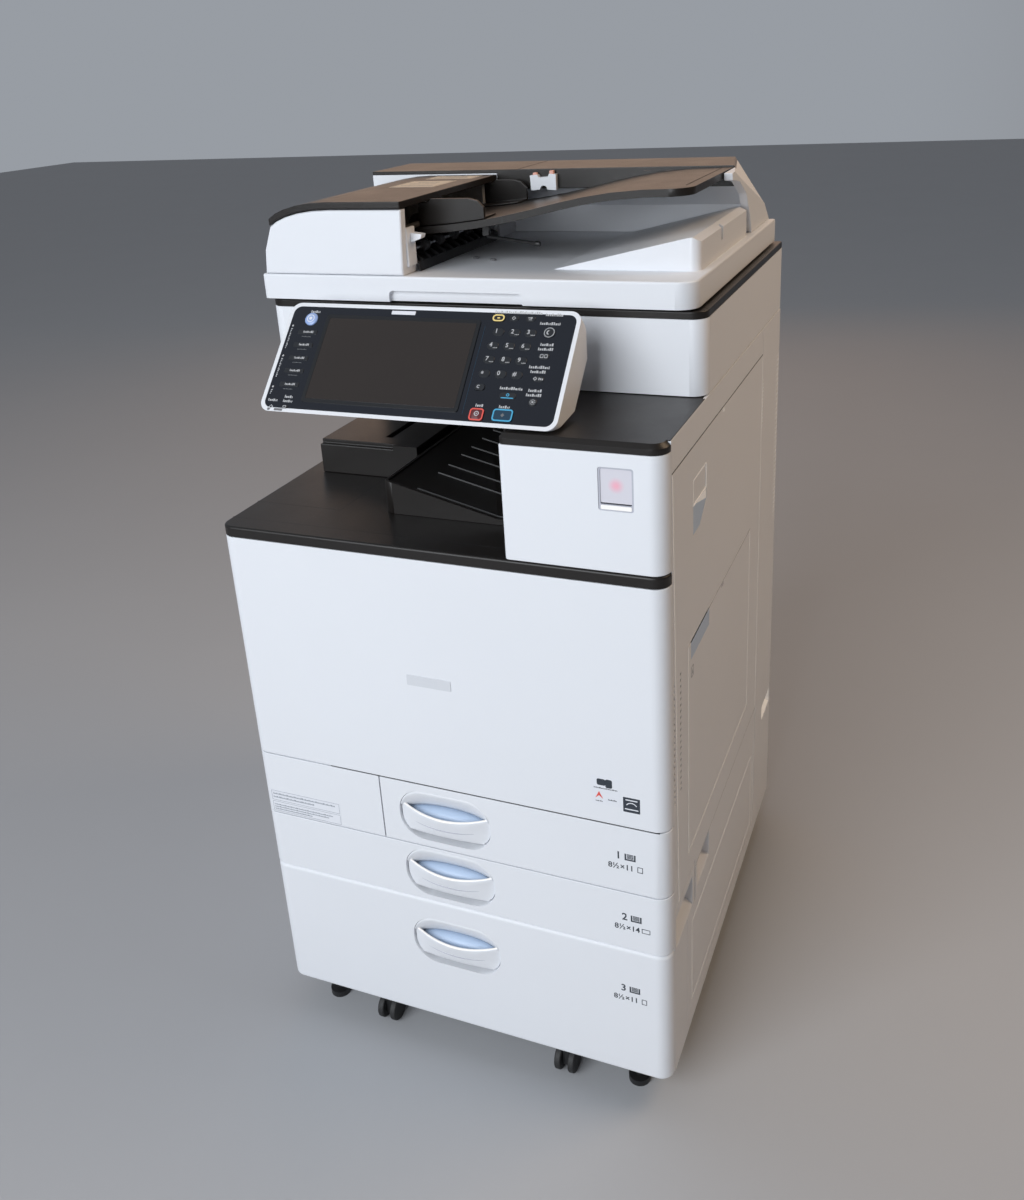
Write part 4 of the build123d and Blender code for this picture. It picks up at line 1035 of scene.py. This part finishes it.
def make_side_pockets():
    """The pockets that the hand takes hold of, with painted highlights and painted shade on their facets,
    and the slots beside the door's front edge, with painted shade in and behind them.
    """
    pad = Moulding(RIGHT).slab(rounded(-185, 842, 64, 31, 2), -2.6, -0.9, 0.6)
    pad.piece("door_pull_pad", "white", "right_door")
    # The pull's outline and lit facet take the edge look, a painted highlight; its shaded facet is blue
    # painted shade.
    border = Moulding(RIGHT)
    border.ring(rounded(-185, 842, 66.5, 33.5, 2.5), rounded(-185, 842, 62.5, 30, 2), -1.0, 0.1)
    border.piece("door_pull_outline", "edge", "right_door")
    deep, front, rear = -8, -216.5, -153.5
    lit = leaf(((front, 822, deep), (rear, 812.5, -0.3), (rear, 827, -0.3), (front, 827, -6)))
    lit.piece("door_pull_lit", "edge", "right_door")
    shaded = leaf(((front, 822, deep), (front, 790, -0.3), (-186, 790, -0.3), (rear, 812.5, -0.3)))
    shaded.piece("door_pull_shaded", "pocket", "right_door")
    # Blue facets: painted shade in the bypass grip's pocket.
    lift = Moulding(RIGHT)
    facets(lift, [(-228.5, 629.5), (-134.5, 629.5), (-134.5, 652.5), (-228.5, 652.5)], (-172, 640), 7)
    tidy(lift).piece("bypass_grip_facets", "pocket", "bypass_tray")
    tub((-196, -128), (262, 303), 11).piece("bank_door_pocket", "label", "bank_door")
    # The rear grip's lining takes the edge look: a painted highlight.
    tub((261, 329), (238, 266), 11).piece("rear_lifting_grip", "edge", "chassis")
    mark = Moulding(RIGHT).ring(rounded(-222, 611, 11, 15, 1.5), rounded(-222, 611, 8.6, 12.6, 1.2), *FILM)
    mark.slab([(-224.5, 607.5), (-219.5, 607.5), (-222, 614.5)], *FILM)
    mark.piece("bypass_mark", "grey_print_and_painted_shade", "bypass_tray")
    shade = Moulding(RIGHT)
    for row in range(SLOT_ROWS):
        z = SLOT_Z + SLOT_PITCH * row
        shade.box((-281, -275), (z, z + 2.2), (-1.95, -0.5))
    shade.piece("door_slot_shadows", "grey_print_and_painted_shade", "right_door")
    slots = (SLOT_Z - 3, SLOT_Z + SLOT_PITCH * SLOT_ROWS)
    # A black plate behind the slots stands in for the shade inside the cover: painted shade.
    backing = Moulding(RIGHT).box((-311.5, -303.5), slots, (-4.6, -4.05))
    backing.piece("wrap_slot_painted_shade", "black", "chassis")


def make_seams():
    """Dark joints round the front door's foot and the exit slab's lid, and the block cap's side."""
    low, high = box_of("front_door")
    joint = Moulding(FRONT).box((low.x + 120, high.x - 12), (low.z - 0.75, low.z - 0.05), (-4, -0.35))
    joint.piece("front_door_joint", "black", "front_door")
    cap_high = box_of("block_cap")[1]
    cover_top = 938.5               # just above the trim that the strip covers
    strip = Moulding(WORLD)
    strip.box((cap_high.x - 6, RIGHT_X - 0.6), (FRONT_Y + 20.2, -160.8), (cover_top, cap_high.z - 0.1), 0.3)
    strip.piece("block_cap_side_strip", "charcoal", "chassis")
    slab_low, slab_high = box_of("exit_slab")
    groove, left = (-0.75, 0.04), slab_low.x + 1
    lines = Moulding(face((0, FRONT_Y, slab_high.z), (1, 0, 0), (0, 1, 0)))
    lines.box((left, 102), (29.8, 31.2), groove)
    lines.box((left, -163.8), (84.6, 86.4), groove)
    lines.box((-165.4, -163.6), (86.4, 208), groove)
    lines.piece("exit_slab_joints", "black", "chassis")


def make_screws():
    """Screws that hold the rear covers, and a blank plate."""
    places = [(x, z) for x in (-275, -92, 92, 275) for z in (66, 246, 290, 900)]
    rear = Moulding(REAR)
    for x, z in places + [(-275, 600), (275, 600)]:
        rear.turned(x, z, [(4.2, -0.2), (4.2, 0.8), (3.4, 1.5), (1.2, 1.6)], 16)
    smooth(rear.piece("rear_cover_screws", "bright", "chassis"))
    slots = Moulding(REAR)
    for x, z in places:
        slots.box((x - 2.2, x + 2.2), (z - 0.45, z + 0.45), (1.3, 1.68))
        slots.box((x - 0.45, x + 0.45), (z - 2.2, z + 2.2), (1.3, 1.68))
    slots.piece("rear_screw_slots", "black", "chassis")
    plate = Moulding(REAR).slab(rounded(-250, 190, 60, 42, 2), *FILM)
    plate.piece("rear_blank_plate", "badge", "chassis")


def make_wheel_caps():
    """A hub cap on both sides of each caster."""
    sink = 0.35             # the cap's outer face is level with the tyre
    profile = [(11.5, -0.6), (11.5, 0.0), (10.4, 0.12), (4.0, 0.05), (3.4, 0.3), (0.4, sink)]
    for place in ("front_left", "front_right", "rear_left", "rear_right"):
        low, high = box_of(f"caster_wheels_{place}")
        middle = (low + high) / 2
        caps = Moulding(WORLD)
        for side, x in ((-1, low.x), (1, high.x)):
            on = face((x, middle.y, middle.z), (0, side, 0), (0, 0, 1))
            part = Moulding(on).turned(0, 0, [(radius, height - sink) for radius, height in profile], 24)
            bmesh.ops.transform(part.mesh, matrix=on, verts=part.mesh.verts)
            spare = bpy.data.meshes.new("spare")
            part.mesh.to_mesh(spare)
            part.mesh.free()
            caps.mesh.from_mesh(spare)
            bpy.data.meshes.remove(spare)
        smooth(caps.piece(f"wheel_caps_{place}", "grey", f"wheels_{place}"))


def make_inner_panel():
    """What shows behind the open front door: an inner cover with the toner caps in it."""
    low, high = box_of("toner_bottles")
    on = face((0, -309.5, 0), (1, 0, 0), (0, 0, 1))
    left, right, floor, top = -276, 258, box_of("front_door")[0].z + 8, 764
    shelf = low.z - 6               # the cover's upper edge, under the bottles
    cover = Moulding(on)
    for x, z in (((left, right), (floor, shelf)), ((86, right), (shelf, top))):
        cover.slab(around(x, z, 3), -3, 0, 0.8)
    cover.piece("inner_cover", "tray", "chassis")
    grooves = Moulding(on)
    for z in (520, 600, 640):
        grooves.box((left + 12, right - 12), (z, z + 1.2), (0, 0.25))
    for x in (110, 236):
        grooves.box((x, x + 1.2), (floor + 10, shelf - 8), (0, 0.25))
    grooves.piece("inner_cover_lines", "black", "chassis")
    levers = Moulding(on)
    for x, z in ((-232, 560), (60, 560), (173, 700)):
        levers.slab(rounded(x, z, 12, 38, 5), 0, 9, 2.5)
    levers.piece("inner_levers", "cyan", "chassis")
    profile = [(17.2, -6.5), (17.2, 0.6), (16, 1.6), (12, 1.6), (11, 0.6), (4, 0.6), (3.4, 3), (0.6, 3.2)]
    for index, look in enumerate(("black", "cyan", "magenta", "sun")):
        on_cap = face((-225 + 85 * index, low.y, (low.z + high.z) / 2), (1, 0, 0), (0, 0, 1))
        cap = Moulding(on_cap).turned(0, 0, profile, 32)
        smooth(cap.piece(f"toner_cap_{index + 1}", look, "chassis"))


make_camera()
make_lights()
make_floor()
dress_nodes()
for make in (make_screen, make_fixed_keys, make_moving_keys, make_front_prints, make_waste_label,
             make_tray_labels, make_pockets, make_indicator, make_exit_ribs, make_feeder_mouth,
             make_feeder_fittings, make_tray_trim, make_feeder_labels, make_platen_details,
             make_side_dots, make_side_lines, make_side_pockets, make_seams, make_screws,
             make_wheel_caps, make_inner_panel):
    make()

bpy.context.view_layer.update()
